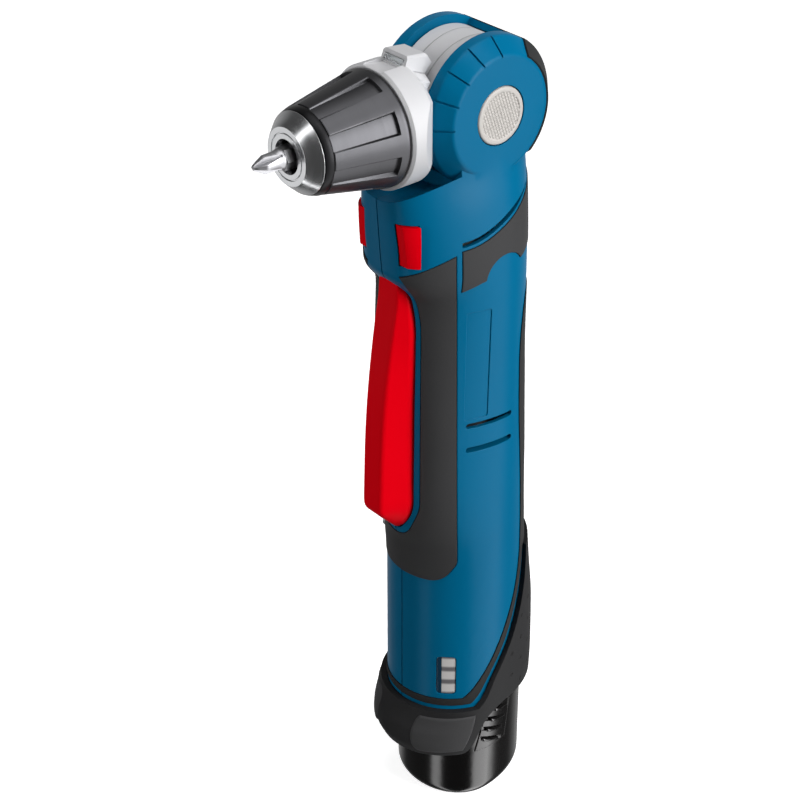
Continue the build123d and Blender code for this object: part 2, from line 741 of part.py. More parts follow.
def trigger_prism(grow):
    """The trigger's outline from the front, rounded at both ends, as a prism through the housing's front."""
    half = TRIGGER_HALF_WIDTH + grow
    low = trigger_bottom - 6.7 - grow
    high = trigger_top + 1.1 + grow
    side_low = trigger_bottom + 8
    side_high = trigger_top - 17
    right = [
        Spline(
            (0, low),
            (0.56 * half, low + 3.7),
            (0.87 * half, low + 8.2),
            (half, side_low),
            tangents=[(1, 0), (0.8, 1), (0.4, 1), (0, 1)],
        ),
        Line((half, side_low), (half, side_high)),
        Spline(
            (half, side_high),
            (0.89 * half, high - 9.5),
            (0.64 * half, high - 3.0),
            (0, high),
            tangents=[(0, 1), (-0.25, 1), (-0.7, 1), (-1, 0)],
        ),
    ]
    outline = Plane.XZ * make_face(right + [Line((0, high), (0, low))])
    half_prism = Pos(0, -16, 0) * extrude(outline, 34)
    return both_sides(half_prism)


def trigger_slot():
    """The opening in the housing's front for the trigger."""
    return trigger_prism(SLIDE_GAP)


def window_block(gap, depth_from, depth_to):
    """Prism of the charge window, square to the front corner of the handle."""
    frame = RectangleRounded(WINDOW_WIDTH + 2 * gap, WINDOW_HEIGHT + 2 * gap, WINDOW_CORNER + gap)
    outline = corner_plane * (Pos(-0.6, BASE_EDGE + 33.4, depth_from) * frame)
    return extrude(outline, depth_to - depth_from)


def rib(height, thickness, hole):
    """A rib across the inside of the handle with a round hole for what it carries."""
    slab = Pos(0, 0, height) * Cylinder(60, thickness, align=(Align.CENTER, Align.CENTER, Align.MIN))
    plate = slab & skin(0.3 - WALL)
    if hole:
        plate = plate - Pos(0, 0, height) * Cylinder(hole, 3 * thickness)
    return plate


def screw_hole(place):
    """A clear hole for one screw, right across the handle."""
    return Pos(0, *place) * Rot(0, 90, 0) * Cylinder(SCREW_RADIUS + RUNNING, 80)


def screw_seat_x(place):
    """How far out a screw's head sits under the skin of the far half."""
    angle = math.pi / 2
    for _ in range(40):
        radius = float(radius_at(np.array([angle]), np.array([place[1]]), handle_stations)[0])
        across = math.sqrt(max(radius * radius - place[0] ** 2, 1.0))
        angle = math.atan2(across, -place[0])
    return across - SCREW_SUNK


def housing_half():
    """What both halves of the housing share, built on the +X side."""
    outer = plain_half - scoop
    half_space = Pos(50, 0, 150) * Box(100, 200, 400)
    bridge_radius = CHEEK_RADIUS - 0.2
    bridge_profile = [(0, 0), (0, bridge_radius), (fork_half + 1, bridge_radius), (fork_half + 1, 0)]
    bridge = tilt_turned(bridge_profile, BUMPER_FROM - 20, BRIDGE_TOP_ANGLE - BUMPER_FROM + 20)
    shell = outer + cheek() + bridge
    shell = shell - fork_cut()
    shell = shell - cavity_half
    ribs = [
        rib(shelf_top - SHELF, SHELF, 0),
        rib(end_cap_bottom - RIB, RIB, MOTOR_RADIUS - 3),
        rib(motor_bottom + 20, RIB, MOTOR_RADIUS + FIT),
        rib(gear_bottom + 3, RIB, GEAR_CASE_RADIUS + FIT),
    ]
    swing_room = Pos(0, -50, trigger_bottom + 45) * Box(200, 73, 100)
    for plate in ribs[1:]:
        shell = shell + (plate - swing_room)
    shell = shell + ribs[0]
    wall_core = skin(0.3 - WALL)
    works_room = handle_turned([
        (end_cap_bottom - 1, 0),
        (end_cap_bottom - 1, MOTOR_RADIUS + 2 * FIT),
        (motor_top - 2, MOTOR_RADIUS + 2 * FIT),
        (motor_top - 2, GEAR_CASE_RADIUS + 2 * FIT),
        (cavity_top + 1, GEAR_CASE_RADIUS + 2 * FIT),
        (cavity_top + 1, 0),
    ])
    for place in screw_places:
        boss = Pos(15, *place) * Rot(0, 90, 0) * Cylinder(SCREW_BOSS_RADIUS, 30)
        shell = shell + ((boss & wall_core) - works_room)
    pin_boss = Pos(11.3 + 6, HINGE_Y, hinge_z) * Rot(0, 90, 0) * Cylinder(3.2, 12)
    shell = shell + (pin_boss & wall_core)
    pin_hole = Cylinder(HINGE_PIN_RADIUS + FIT, 2 * HINGE_PIN_HALF + 4 * FIT)
    shell = shell - Pos(0, HINGE_Y, hinge_z) * Rot(0, 90, 0) * pin_hole
    shell = shell - trigger_slot()
    shell = shell - side_block(selector_outline(SELECTOR_GAP), -40, 40)
    shell = shell - button_pocket()
    shell = shell - Pos(0, 0, cavity_top) * Cylinder(DRIVE_SHAFT_RADIUS + 2.2, 30)
    shell = shell - bumper_half(SEAT)
    shell = shell - (corner_block(grip_outline(RUBBER_GAP)) - core_half)
    shell = shell - (shoulder_block(RUBBER_GAP) - core_half)
    shell = shell - (side_block(spine_outline(RUBBER_GAP), -1) - core_half)
    shell = shell - air_slot() - label_recess()
    vent = extrude(Plane.YZ * (Rot(0, 0, VENT_TILT) * SlotOverall(VENT_LENGTH, VENT_WIDTH)), 60)
    for step in range(VENT_COUNT):
        shell = shell - Pos(0, -4.2, trigger_bottom + 34.9 - VENT_PITCH * step) * vent
    for mark in angle_marks():
        shell = shell - mark
    shell = shell - below_base(2.0)
    seam = Pos(0, 0, 150) * Box(SEAM_WIDTH, 200, 400)
    shell = shell - (seam & (plain_half - skin(-SEAM_DEPTH)))
    return shell & half_space


def housings():
    """The two halves: the right one has the charge window, and the left one the screw holes."""
    common = housing_half()
    right = common
    left = common.mirror(Plane.YZ)
    right = right - window_block(RUBBER_GAP, 0, 60)
    for place in screw_places:
        seat = screw_seat_x(place)
        depth = min(SCREW_REACH, seat - 0.5) + 0.3
        right = right - Pos(depth / 2, *place) * Rot(0, 90, 0) * Cylinder(SCREW_RADIUS + RUNNING, depth)
        left = left - screw_hole(place)
        head_hole = Cylinder(SCREW_HEAD_RADIUS + HEAD_ROOM, 40)
        left = left - Pos(-seat - 20, *place) * Rot(0, 90, 0) * head_hole
    return right, left


def housing_screws():
    """The five clamshell screws, from the left half into the bosses of the right one."""
    screws = []
    for place in screw_places:
        seat = screw_seat_x(place)
        head = Pos(-seat - SCREW_HEAD / 2, *place) * Rot(0, 90, 0) * Cylinder(SCREW_HEAD_RADIUS, SCREW_HEAD)
        hexagon = extrude(RegularPolygon(SCREW_SOCKET, 6), SCREW_SOCKET)
        socket = Pos(-seat - SCREW_HEAD, *place) * Rot(0, 90, 0) * hexagon
        reach = min(SCREW_REACH, seat - 0.5)
        shank = Pos((reach - seat) / 2, *place) * Rot(0, 90, 0) * Cylinder(SCREW_RADIUS, reach + seat)
        screws.append(head + shank - socket)
    return Compound(screws)


def rubber_panels():
    """The panels and the spine let into the skin, the bumper over the fork, and the boot."""
    right_grip = (corner_block(grip_outline(0)) & proud_half) - rubber_floor
    right_shoulder = (shoulder_block(0) & proud_half) - rubber_floor
    slot = trigger_slot()
    right_grip = right_grip - slot
    head_hole = Rot(0, 90, 0) * Cylinder(SCREW_HEAD_RADIUS + HEAD_ROOM, 60)
    far_holes = [Pos(-30, *place) * head_hole for place in screw_places]
    left_grip = right_grip.mirror(Plane.YZ)
    left_shoulder = right_shoulder.mirror(Plane.YZ)
    spine = both_sides((side_block(spine_outline(0), -1) & proud_half) - rubber_floor)
    for hole in far_holes:
        left_grip = left_grip - hole
        left_shoulder = left_shoulder - hole
        spine = spine - hole
    save("grip_panel_right", right_grip)
    save("grip_panel_left", left_grip)
    save("shoulder_panel_right", right_shoulder)
    save("shoulder_panel_left", left_shoulder)
    save("spine_grip", spine)
    save("head_bumper", both_sides(bumper_half(0)))
    boot = skin_half(0.0, BASE_EDGE - 6, BASE_EDGE + 86, boot_stations) & side_block(boot_outline(), -1)
    save("base_boot", both_sides(boot - skin(SEAT)))


def charge_parts():
    """The charge window and the lamp board behind it."""
    lens_inside = WALL + WINDOW_INSIDE
    lens = window_block(0, 0, 60) & skin(-WINDOW_SUNK)
    lens = lens - skin(-lens_inside)
    save("charge_window", lens)
    board = window_block(1.0, 0, 60) & skin(-lens_inside - SEAT)
    board = board - skin(-lens_inside - 1.5)
    save("charge_board", board)


def trigger_parts():
    """The hollow paddle with its ears, stop and switch pad, and the pin that it swings on."""
    paddle = loft([trigger_section(*section, 0) for section in trigger_sections]) & trigger_prism(0)
    under = Polyline(
        (-25.4, trigger_bottom - 7),
        (-37.0, trigger_bottom + 4.6),
        (-50, trigger_bottom + 4.6),
        (-50, trigger_bottom - 20),
        (-25.4, trigger_bottom - 20),
        close=True,
    )
    paddle = paddle - side_block(under, -30, 30)
    hollow = loft([trigger_section(*section, TRIGGER_WALL) for section in trigger_sections])
    hollow = hollow & Pos(0, -30, (trigger_bottom + trigger_top) / 2) * Box(60, 60, TRIGGER_LENGTH - 22)
    paddle = paddle - hollow
    ear_low = trigger_top - 8
    ear_high = hinge_z + 3
    ear = Pos(0, HINGE_Y, (ear_low + ear_high) / 2) * Box(EAR_WIDTH, EAR_DEPTH, ear_high - ear_low)
    inside = -TRIGGER_BACK - TRIGGER_RIB / 2
    stop_lip = Pos(0, inside, trigger_bottom + 0.2) * Box(STOP_WIDTH, TRIGGER_RIB, STOP_HEIGHT)
    pad = Pos(0, inside, plunger_z) * Box(PAD_WIDTH, TRIGGER_RIB, PAD_HEIGHT)
    paddle = paddle + ear + stop_lip + pad
    paddle = paddle - Pos(0, HINGE_Y, hinge_z) * Rot(0, 90, 0) * Cylinder(HINGE_PIN_RADIUS + RUNNING, 60)
    save("trigger", paddle)
    pin = Pos(0, HINGE_Y, hinge_z) * Rot(0, 90, 0) * Cylinder(HINGE_PIN_RADIUS, 2 * HINGE_PIN_HALF)
    save("trigger_pin", pin)


def switch_parts():
    """The switch with its plunger and return spring, and the control board behind it."""
    middle = (0, SWITCH_FRONT + SWITCH_SIZE[1] / 2, shelf_top + SWITCH_SIZE[2] / 2)
    body = Pos(*middle) * Box(*SWITCH_SIZE)
    plunger_room = Pos(0, SWITCH_FRONT + 4, plunger_z) * Rot(90, 0, 0) * Cylinder(PLUNGER_RADIUS + RUNNING, 9)
    body = body - plunger_room
    save("switch_body", body)
    tip = -TRIGGER_BACK + 0.4
    rear = SWITCH_FRONT + 1.2
    plunger = Pos(0, (tip + rear) / 2, plunger_z) * Rot(90, 0, 0) * Cylinder(PLUNGER_RADIUS, rear - tip)
    save("switch_plunger", plunger)
    spring = Pos(0, SWITCH_FRONT - 0.9, plunger_z) * Rot(90, 0, 0) * Cylinder(PLUNGER_RADIUS + 1.6, 1.6)
    spring = spring - Pos(0, SWITCH_FRONT, plunger_z) * Rot(90, 0, 0) * Cylinder(PLUNGER_RADIUS + 0.5, 20)
    save("trigger_spring", spring)
    board = Pos(0, SWITCH_FRONT + 22, shelf_top + 16) * Box(26, 1.6, 32)
    coil = Pos(-6, SWITCH_FRONT + 24.3, shelf_top + 10) * Box(8, 3, 8)
    chip = Pos(6, SWITCH_FRONT + 23.8, shelf_top + 22) * Box(7, 2, 7)
    save("control_board", board + coil + chip)


def selector():
    """The bar through the nose, in its middle place, with both ends as proud as it can still travel."""
    bar = side_block(selector_outline(0), -40, 40)
    save("selector", bar & both_sides(skin_half(SELECTOR_TRAVEL / 2, trigger_top, nose_top + 6)))


def release_parts():
    """The two release buttons and the spring washers under them."""
    outer = CHEEK_HALF_WIDTH + BUTTON_PROUD
    inner = outer - BUTTON_THICKNESS
    disc = Pos((outer + inner) / 2, 0, pivot) * Rot(0, 90, 0) * Cylinder(BUTTON_RADIUS, BUTTON_THICKNESS)
    disc = chamfer(disc.edges().filter_by(GeomType.CIRCLE).sort_by(Axis.X)[-1:], 0.4)
    stem_end = BARREL_HALF_WIDTH + BUTTON_TRAVEL + 0.4
    stem = Rot(0, 90, 0) * Cylinder(TRUNNION_BORE - 0.4, inner - stem_end)
    button = disc + Pos((inner + stem_end) / 2, 0, pivot) * stem
    floor = fork_half + TRUNNION_REACH
    washer = inner - floor - BUTTON_TRAVEL - 0.1
    ring = Cylinder(BUTTON_RADIUS - 0.6, washer) - Cylinder(TRUNNION_RADIUS + 0.5, 2 * washer)
    spring = Pos(floor + washer / 2 + 0.02, 0, pivot) * Rot(0, 90, 0) * ring
    save("release_button_right", button)
    save("release_button_left", button.mirror(Plane.YZ))
    save("release_spring_right", spring)
    save("release_spring_left", spring.mirror(Plane.YZ))


bearing_rear = COLLAR_REAR + 0.8
bearing_front = bearing_rear + SPINDLE_BEARING_LENGTH
axle_half = BARREL_HALF_WIDTH - 0.6


def bridge_room():
    """The slit in the neck and the lamp hood that takes the fork's bridge when the head stands straight."""
    outer = CHEEK_RADIUS + 0.6
    last = BRIDGE_TOP_ANGLE + 90 + 1.5
    profile = [(-12, BARREL_RADIUS), (12, BARREL_RADIUS), (12, outer), (-12, outer)]
    return tilt_turned(profile, 100, last - 100)


def gear_head():
    """The barrel with its trunnions, the neck to the collar, and the bores inside."""
    barrel = Pos(0, 0, pivot) * Rot(0, 90, 0) * Cylinder(BARREL_RADIUS, 2 * BARREL_HALF_WIDTH)
    barrel = chamfer(barrel.edges().filter_by(GeomType.CIRCLE), 0.5)
    neck = chuck_turned([
        (8.0, 0),
        (8.0, COLLAR_RADIUS - 8.0),
        (COLLAR_REAR, COLLAR_RADIUS - 2.0),
        (COLLAR_REAR, 0),
    ])
    neck = neck & Pos(0, 0, pivot) * Box(2 * BARREL_HALF_WIDTH, 100, 100)
    boss_length = COLLAR_FRONT - 1 - COLLAR_REAR
    boss = Pos(0, -COLLAR_REAR - boss_length / 2, pivot) * Rot(90, 0, 0) * Cylinder(BOSS_OUTER, boss_length)
    case = barrel + (neck - bridge_room()) + boss
    hollow_radius = BARREL_RADIUS - BARREL_WALL
    hollow_length = 2 * (BARREL_HALF_WIDTH - BARREL_WALL)
    hollow = Pos(0, 0, pivot) * Rot(0, 90, 0) * Cylinder(hollow_radius, hollow_length)
    bearing_bore = chuck_turned([
        (bearing_rear, 0),
        (bearing_rear, SPINDLE_BEARING_RADIUS + FIT),
        (COLLAR_FRONT, SPINDLE_BEARING_RADIUS + FIT),
        (COLLAR_FRONT, 0),
    ])
    spindle_bore = Pos(0, -30, pivot) * Rot(90, 0, 0) * Cylinder(SPINDLE_RADIUS + 2.4, 40)
    case = case - hollow - bearing_bore - spindle_bore
    half = PINION_SLOT_HALF
    slot_ring = [(-half, 10), (half, 10), (half, 26), (-half, 26)]
    case = case - tilt_turned(slot_ring, -90 - PINION_SLOT_ROOM, 90 + 2 * PINION_SLOT_ROOM)
    trunnion_length = TRUNNION_REACH - 0.3 + FORK_GAP
    for side in (1, -1):
        place = side * (BARREL_HALF_WIDTH + trunnion_length / 2)
        trunnion = Cylinder(TRUNNION_RADIUS, trunnion_length) - Cylinder(TRUNNION_BORE, 2 * trunnion_length)
        case = case + Pos(place, 0, pivot) * Rot(0, 90, 0) * trunnion
    case = case - Pos(0, 0, pivot) * Rot(0, 90, 0) * Cylinder(AXLE_RADIUS + FIT, 2 * axle_half + 0.1)
    save("gear_head_case", case)


neck_slope = 6.0 / (COLLAR_REAR - 8.0)


def collar_parts():
    """The front collar with the lamp hood over it, the lens and the lamp board."""
    ring = chuck_turned([
        (COLLAR_REAR, BOSS_OUTER + FIT),
        (COLLAR_REAR, COLLAR_RADIUS - 2.0),
        (COLLAR_CREASE, COLLAR_RADIUS),
        (COLLAR_FRONT - 0.8, COLLAR_RADIUS),
        (COLLAR_FRONT, COLLAR_RADIUS - 0.8),
        (COLLAR_FRONT, BOSS_OUTER + FIT),
    ])
    lean = math.degrees(math.atan2(COLLAR_RADIUS - FACET_INNER, FACET_LENGTH))
    for side in (1, -1):
        facet = Pos(side * FACET_INNER, -COLLAR_REAR, pivot) * Rot(0, 0, side * lean) * Pos(side * 10, 0, 0)
        ring = ring - facet * Box(20, 60, 60)
    base = COLLAR_RADIUS - 3.0
    hood_profile = Polyline(
        (-LAMP_FRONT, pivot + base),
        (-LAMP_FRONT, pivot + LAMP_TOP - 3.8),
        (-LAMP_FRONT + 1.5, pivot + LAMP_TOP),
        (-18.2, pivot + LAMP_TOP - 0.8),
        (-15.2, pivot + BARREL_RADIUS - 5.2),
        (-16.0, pivot + base - 2),
        close=True,
    )
    hood = Pos(-LAMP_HALF, 0, 0) * extrude(Plane.YZ * make_face(hood_profile), 2 * LAMP_HALF)
    along = hood.edges().filter_by(Axis.Y, tolerance=8)
    hood = chamfer([edge for edge in along if edge.center().Z > pivot + LAMP_TOP - 1], 0.7)
    barrel_room = Pos(0, 0, pivot) * Rot(0, 90, 0) * Cylinder(BARREL_RADIUS + FIT, 60)
    neck_room = chuck_turned([
        (0, 0),
        (0, COLLAR_RADIUS - 8.0 - 8.0 * neck_slope + FIT),
        (COLLAR_REAR, COLLAR_RADIUS - 2.0 + FIT),
        (COLLAR_REAR, 0),
    ])
    hood = hood - barrel_room - neck_room - bridge_room()
    lens_z = pivot + LAMP_TOP - 2.2
    lens_rear = LAMP_FRONT - 2.4
    lens_width = LENS_SIZE[0] + FIT
    lens_room = Pos(0, -lens_rear - 2.5, lens_z) * Box(lens_width, 5.0, LENS_SIZE[2] + FIT)
    board_room = [size + 2 * FIT for size in LAMP_BOARD_SIZE]
    board_place = Pos(0, -lens_rear + 1.1, lens_z)
    lamp_room = board_place * Box(board_room[0], board_room[1] + 2 * FIT, board_room[2])
    beam_room = Pos(0, -LAMP_FRONT - 4, lens_z + 2.9) * Rot(-6, 0, 0) * Box(lens_width, 8.6, 8.0)
    save("head_collar", ring + hood - lens_room - lamp_room - beam_room)
    save("lamp_lens", Pos(0, -lens_rear - 0.85, lens_z) * Box(*LENS_SIZE))
    save("lamp_board", board_place * Box(*LAMP_BOARD_SIZE))


def tooth_ring(teeth, start, end):
    """Corners round a gear: each tooth goes from the start's radius and half angle to the end's and back."""
    corners = []
    for tooth in range(teeth):
        middle = 2 * math.pi * tooth / teeth
        for (radius, half), side in ((start, -1), (end, -1), (end, 1), (start, 1)):
            angle = middle + side * half
            corners.append((radius * math.cos(angle), radius * math.sin(angle)))
    return corners


def bevel_gear(teeth, pitch_radius, distance, face, bore, hub, hub_radius):
    """Straight bevel gear about +Z with its apex at the origin and its back at -distance.

    Every tooth flank is a flat that runs to the apex, so two such gears roll on one point.
    """
    cone = math.atan2(pitch_radius, distance)
    slant = math.hypot(pitch_radius, distance)
    module = 2 * pitch_radius / teeth
    tip = cone + math.atan(0.9 * module / slant)
    root = cone - math.atan(1.15 * module / slant)
    half_pitch = math.pi * module / 4 - BACKLASH / 2
    flank = math.tan(math.radians(20))
    tip_radius = distance * math.tan(tip)
    root_radius = distance * math.tan(root)
    tip_scale = math.hypot(tip_radius, distance) / slant
    root_scale = math.hypot(root_radius, distance) / slant
    tip_half = (half_pitch - 0.9 * module * flank) * tip_scale / tip_radius
    root_half = (half_pitch + 1.15 * module * flank) * root_scale / root_radius
    outline = tooth_ring(teeth, (root_radius, root_half), (tip_radius, tip_half))
    big = Pos(0, 0, -distance) * make_face(Polyline(*outline, close=True))
    share = 1 - face / slant
    inner = [(share * x, share * y) for x, y in outline]
    small = Pos(0, 0, -distance * share) * make_face(Polyline(*inner, close=True))
    gear = loft([big, small], ruled=True)
    gear = gear & Pos(0, 0, -distance / 2) * Cylinder(pitch_radius + 0.9 * module, 3 * distance)
    gear = gear + Pos(0, 0, -distance - hub / 2) * Cylinder(hub_radius, hub)
    if bore:
        gear = gear - Cylinder(bore, 6 * distance)
    return gear


def spur_outline(teeth, module, inner=False):
    """Tooth outline of a spur gear with straight flanks, as a closed face."""
    pitch = teeth * module / 2
    out = 0.92 * module
    into = 1.2 * module
    half_pitch = math.pi * module / 4 - BACKLASH / 2
    flank = math.tan(math.radians(20))
    if inner:
        far = pitch + into
        near = pitch - out
        far_half = (half_pitch + into * flank) / far
        near_half = (half_pitch - out * flank) / near
        return make_face(Polyline(*tooth_ring(teeth, (far, far_half), (near, near_half)), close=True))
    tip = pitch + out
    root = pitch - into
    tip_half = (half_pitch - out * flank) / tip
    root_half = (half_pitch + into * flank) / root
    return make_face(Polyline(*tooth_ring(teeth, (root, root_half), (tip, tip_half)), close=True))


pitch_pinion = BEVEL_DISTANCE * PINION_TEETH / IDLER_TEETH


def small_bevel(hub_length):
    """The gear that the drive pinion and the spindle's gear share, apart from the length of the hub."""
    return bevel_gear(
        PINION_TEETH, pitch_pinion, BEVEL_DISTANCE, BEVEL_FACE, PINION_BORE, hub_length, PINION_HUB
    )


def bevel_parts():
    """The drive pinion, the gear on the spindle, and the idler on the tilt axis between them."""
    save("drive_pinion", Pos(0, 0, pivot) * small_bevel(PINION_HUB_LENGTH))
    save("spindle_bevel_gear", Pos(0, 0, pivot) * Rot(-90, 0, 0) * small_bevel(SPINDLE_HUB_LENGTH))
    idler_bore = AXLE_RADIUS + RUNNING
    hub_radius = BEVEL_DISTANCE - 1.5
    idler = bevel_gear(
        IDLER_TEETH, BEVEL_DISTANCE, pitch_pinion, BEVEL_FACE, idler_bore, IDLER_HUB, hub_radius
    )
    half_pitch = 180 / IDLER_TEETH
    save("idler_gear", Pos(0, 0, pivot) * Rot(0, -90, 0) * Rot(0, 0, half_pitch) * idler)
    axle = Pos(0, 0, pivot) * Rot(0, 90, 0) * Cylinder(AXLE_RADIUS, 2 * axle_half)
    save("idler_axle", axle)


def spindle_parts():
    """The spindle with its stepped rear end, and the bearing that it turns in."""
    rear = BEVEL_DISTANCE - BEVEL_FACE
    spindle = chuck_turned([
        (rear, 0),
        (rear, PINION_BORE - RUNNING),
        (BEVEL_DISTANCE + SPINDLE_HUB_LENGTH, PINION_BORE - RUNNING),
        (BEVEL_DISTANCE + SPINDLE_HUB_LENGTH, SPINDLE_RADIUS),
        (SPINDLE_FRONT, SPINDLE_RADIUS),
        (SPINDLE_FRONT, 0),
    ])
    save("spindle", spindle)
    bearing = chuck_turned([
        (bearing_rear + 0.2, SPINDLE_RADIUS + RUNNING),
        (bearing_rear + 0.2, SPINDLE_BEARING_RADIUS),
        (bearing_front - 0.2, SPINDLE_BEARING_RADIUS),
        (bearing_front - 0.2, SPINDLE_RADIUS + RUNNING),
    ])
    save("spindle_bearing", bearing)


jaw_axis_radius = BIT_ACROSS_FLATS / 2 + 1.0


def jaw_rod(radius, front, back):
    """Slanted round rod along a jaw's slide, for the jaw above the chuck axis."""
    slope = math.tan(math.radians(JAW_ANGLE))
    start = Vector(0, -front, pivot + jaw_axis_radius + (JAW_FRONT - front) * slope)
    end = Vector(0, -back, pivot + jaw_axis_radius + (JAW_FRONT - back) * slope)
    place = Plane(origin=start, z_dir=end - start)
    return extrude(place * Circle(radius), (end - start).length)


def around_chuck(shape, index):
    """A shape turned to the place of one of the jaws."""
    return shape.rotate(Axis((0, 0, pivot), (0, 1, 0)), index * 360 / JAW_COUNT)


def chuck_ring(rear, front, inner, outer):
    """A plain ring, or with no inner radius a plain disc, on the chuck's axis."""
    return chuck_turned([(rear, inner), (rear, outer), (front, outer), (front, inner)])


def chuck_parts():
    """The chuck's body, its three jaws in their guides, the fluted sleeve and the nut inside it."""
    body = chuck_turned([
        (SLEEVE_REAR + 0.8, 0),
        (SLEEVE_REAR + 0.8, CHUCK_BODY_RADIUS),
        (SLEEVE_FRONT + 0.1, CHUCK_BODY_RADIUS),
        (SLEEVE_FRONT + 0.1, CHUCK_CONE_RADIUS),
        (CHUCK_NOSE - 0.9, CHUCK_NOSE_RADIUS + 0.5),
        (CHUCK_NOSE, CHUCK_NOSE_RADIUS - 0.4),
        (CHUCK_NOSE, 0),
    ])
    bore = chuck_ring(SHANK_BORE_REAR, CHUCK_NOSE + 1, 0, SHANK_BORE)
    socket = chuck_ring(SLEEVE_REAR, SPINDLE_FRONT + 2 * FIT, 0, SPINDLE_RADIUS + FIT)
    ring_groove = chuck_ring(CHUCK_NOSE - NOSE_GROOVE_DEPTH, CHUCK_NOSE + 1, *NOSE_GROOVE)
    body = body - bore - socket - ring_groove
    guide = jaw_rod(JAW_RADIUS + FIT, JAW_FRONT + 0.4, JAW_BACK - JAW_TRAVEL - 4)
    jaw = jaw_rod(JAW_RADIUS, JAW_FRONT, JAW_BACK)
    trim = Pos(0, -55, pivot + BIT_ACROSS_FLATS / 2 + RUNNING - 10) * Box(20, 60, 20)
    jaw = jaw - trim
    for index in range(JAW_COUNT):
        body = body - around_chuck(guide, index)
        save(f"chuck_jaw_{index + 1}", around_chuck(jaw, index))
    save("chuck_body", body)
    inner_rear = SLEEVE_REAR_RADIUS - SLEEVE_WALL
    inner_front = CHUCK_BODY_RADIUS + NUT_ROOM
    sleeve = chuck_turned([
        (SLEEVE_REAR, inner_rear),
        (SLEEVE_REAR, SLEEVE_REAR_RADIUS - 0.4),
        (SLEEVE_REAR + 0.4, SLEEVE_REAR_RADIUS),
        (SLEEVE_SHOULDER, SLEEVE_SHOULDER_RADIUS),
        (SLEEVE_FRONT, CHUCK_CONE_RADIUS + 0.1),
        (SLEEVE_FRONT, CHUCK_BODY_RADIUS + FIT),
        (SLEEVE_LIP_REAR, CHUCK_BODY_RADIUS + FIT),
        (SLEEVE_LIP_REAR, inner_front),
    ])
    slope = math.atan2(SLEEVE_REAR_RADIUS - SLEEVE_SHOULDER_RADIUS, SLEEVE_SHOULDER - SLEEVE_REAR)
    flute_middle = SLEEVE_REAR + FLUTE_REAR + FLUTE_LENGTH / 2
    flute_radius = SLEEVE_REAR_RADIUS - (flute_middle - SLEEVE_REAR) * math.tan(slope)
    flute = Box(FLUTE_WIDTH, FLUTE_LENGTH, 6.0, align=(Align.CENTER, Align.CENTER, Align.MIN))
    flute_floor = Pos(0, -flute_middle, pivot + flute_radius - FLUTE_DEPTH)
    flute = flute_floor * Rot(math.degrees(slope), 0, 0) * flute
    for index in range(SLEEVE_FLUTES):
        turn = FLUTE_START + index * 360 / SLEEVE_FLUTES
        sleeve = sleeve - flute.rotate(Axis((0, 0, pivot), (0, 1, 0)), turn)
    save("chuck_sleeve", sleeve)
    inner_slope = (inner_rear - inner_front) / (SLEEVE_LIP_REAR - SLEEVE_REAR)
    nut_outer = inner_rear - (NUT_FRONT - SLEEVE_REAR) * inner_slope - 2 * FIT
    save("jaw_nut", chuck_ring(NUT_REAR, NUT_FRONT, inner_front, nut_outer))


def driver_bit():
    """A hexagon shank, and a tip with four wedges cut away that leave a cross."""
    hex_front = BIT_TIP - BIT_TIP_LENGTH
    hex_rear = BIT_TIP - BIT_LENGTH
    outline = RegularPolygon(BIT_ACROSS_FLATS / 2, 6, major_radius=False)
    shank = Pos(0, -hex_rear, pivot) * Rot(90, 0, 0) * extrude(outline, hex_front - hex_rear)
    tip = chuck_turned([
        (hex_front - 0.5, 0),
        (hex_front - 0.5, 3.1),
        (hex_front + 0.4, 3.1),
        (hex_front + 1.6, 2.8),
        (BIT_TIP - 3.6, BIT_NECK_RADIUS),
        (BIT_TIP - 0.5, 1.1),
        (BIT_TIP, 0.7),
        (BIT_TIP, 0),
    ])
    wedge = Pos(0, 0, 3.1) * Rot(14, 0, 0) * Rot(0, 45, 0) * Box(3.4, 15, 3.4)
    for index in range(4):
        tip = tip - Pos(0, -BIT_TIP + 1.0, pivot) * Rot(0, 45 + 90 * index, 0) * wedge
    save("driver_bit", shank + tip)


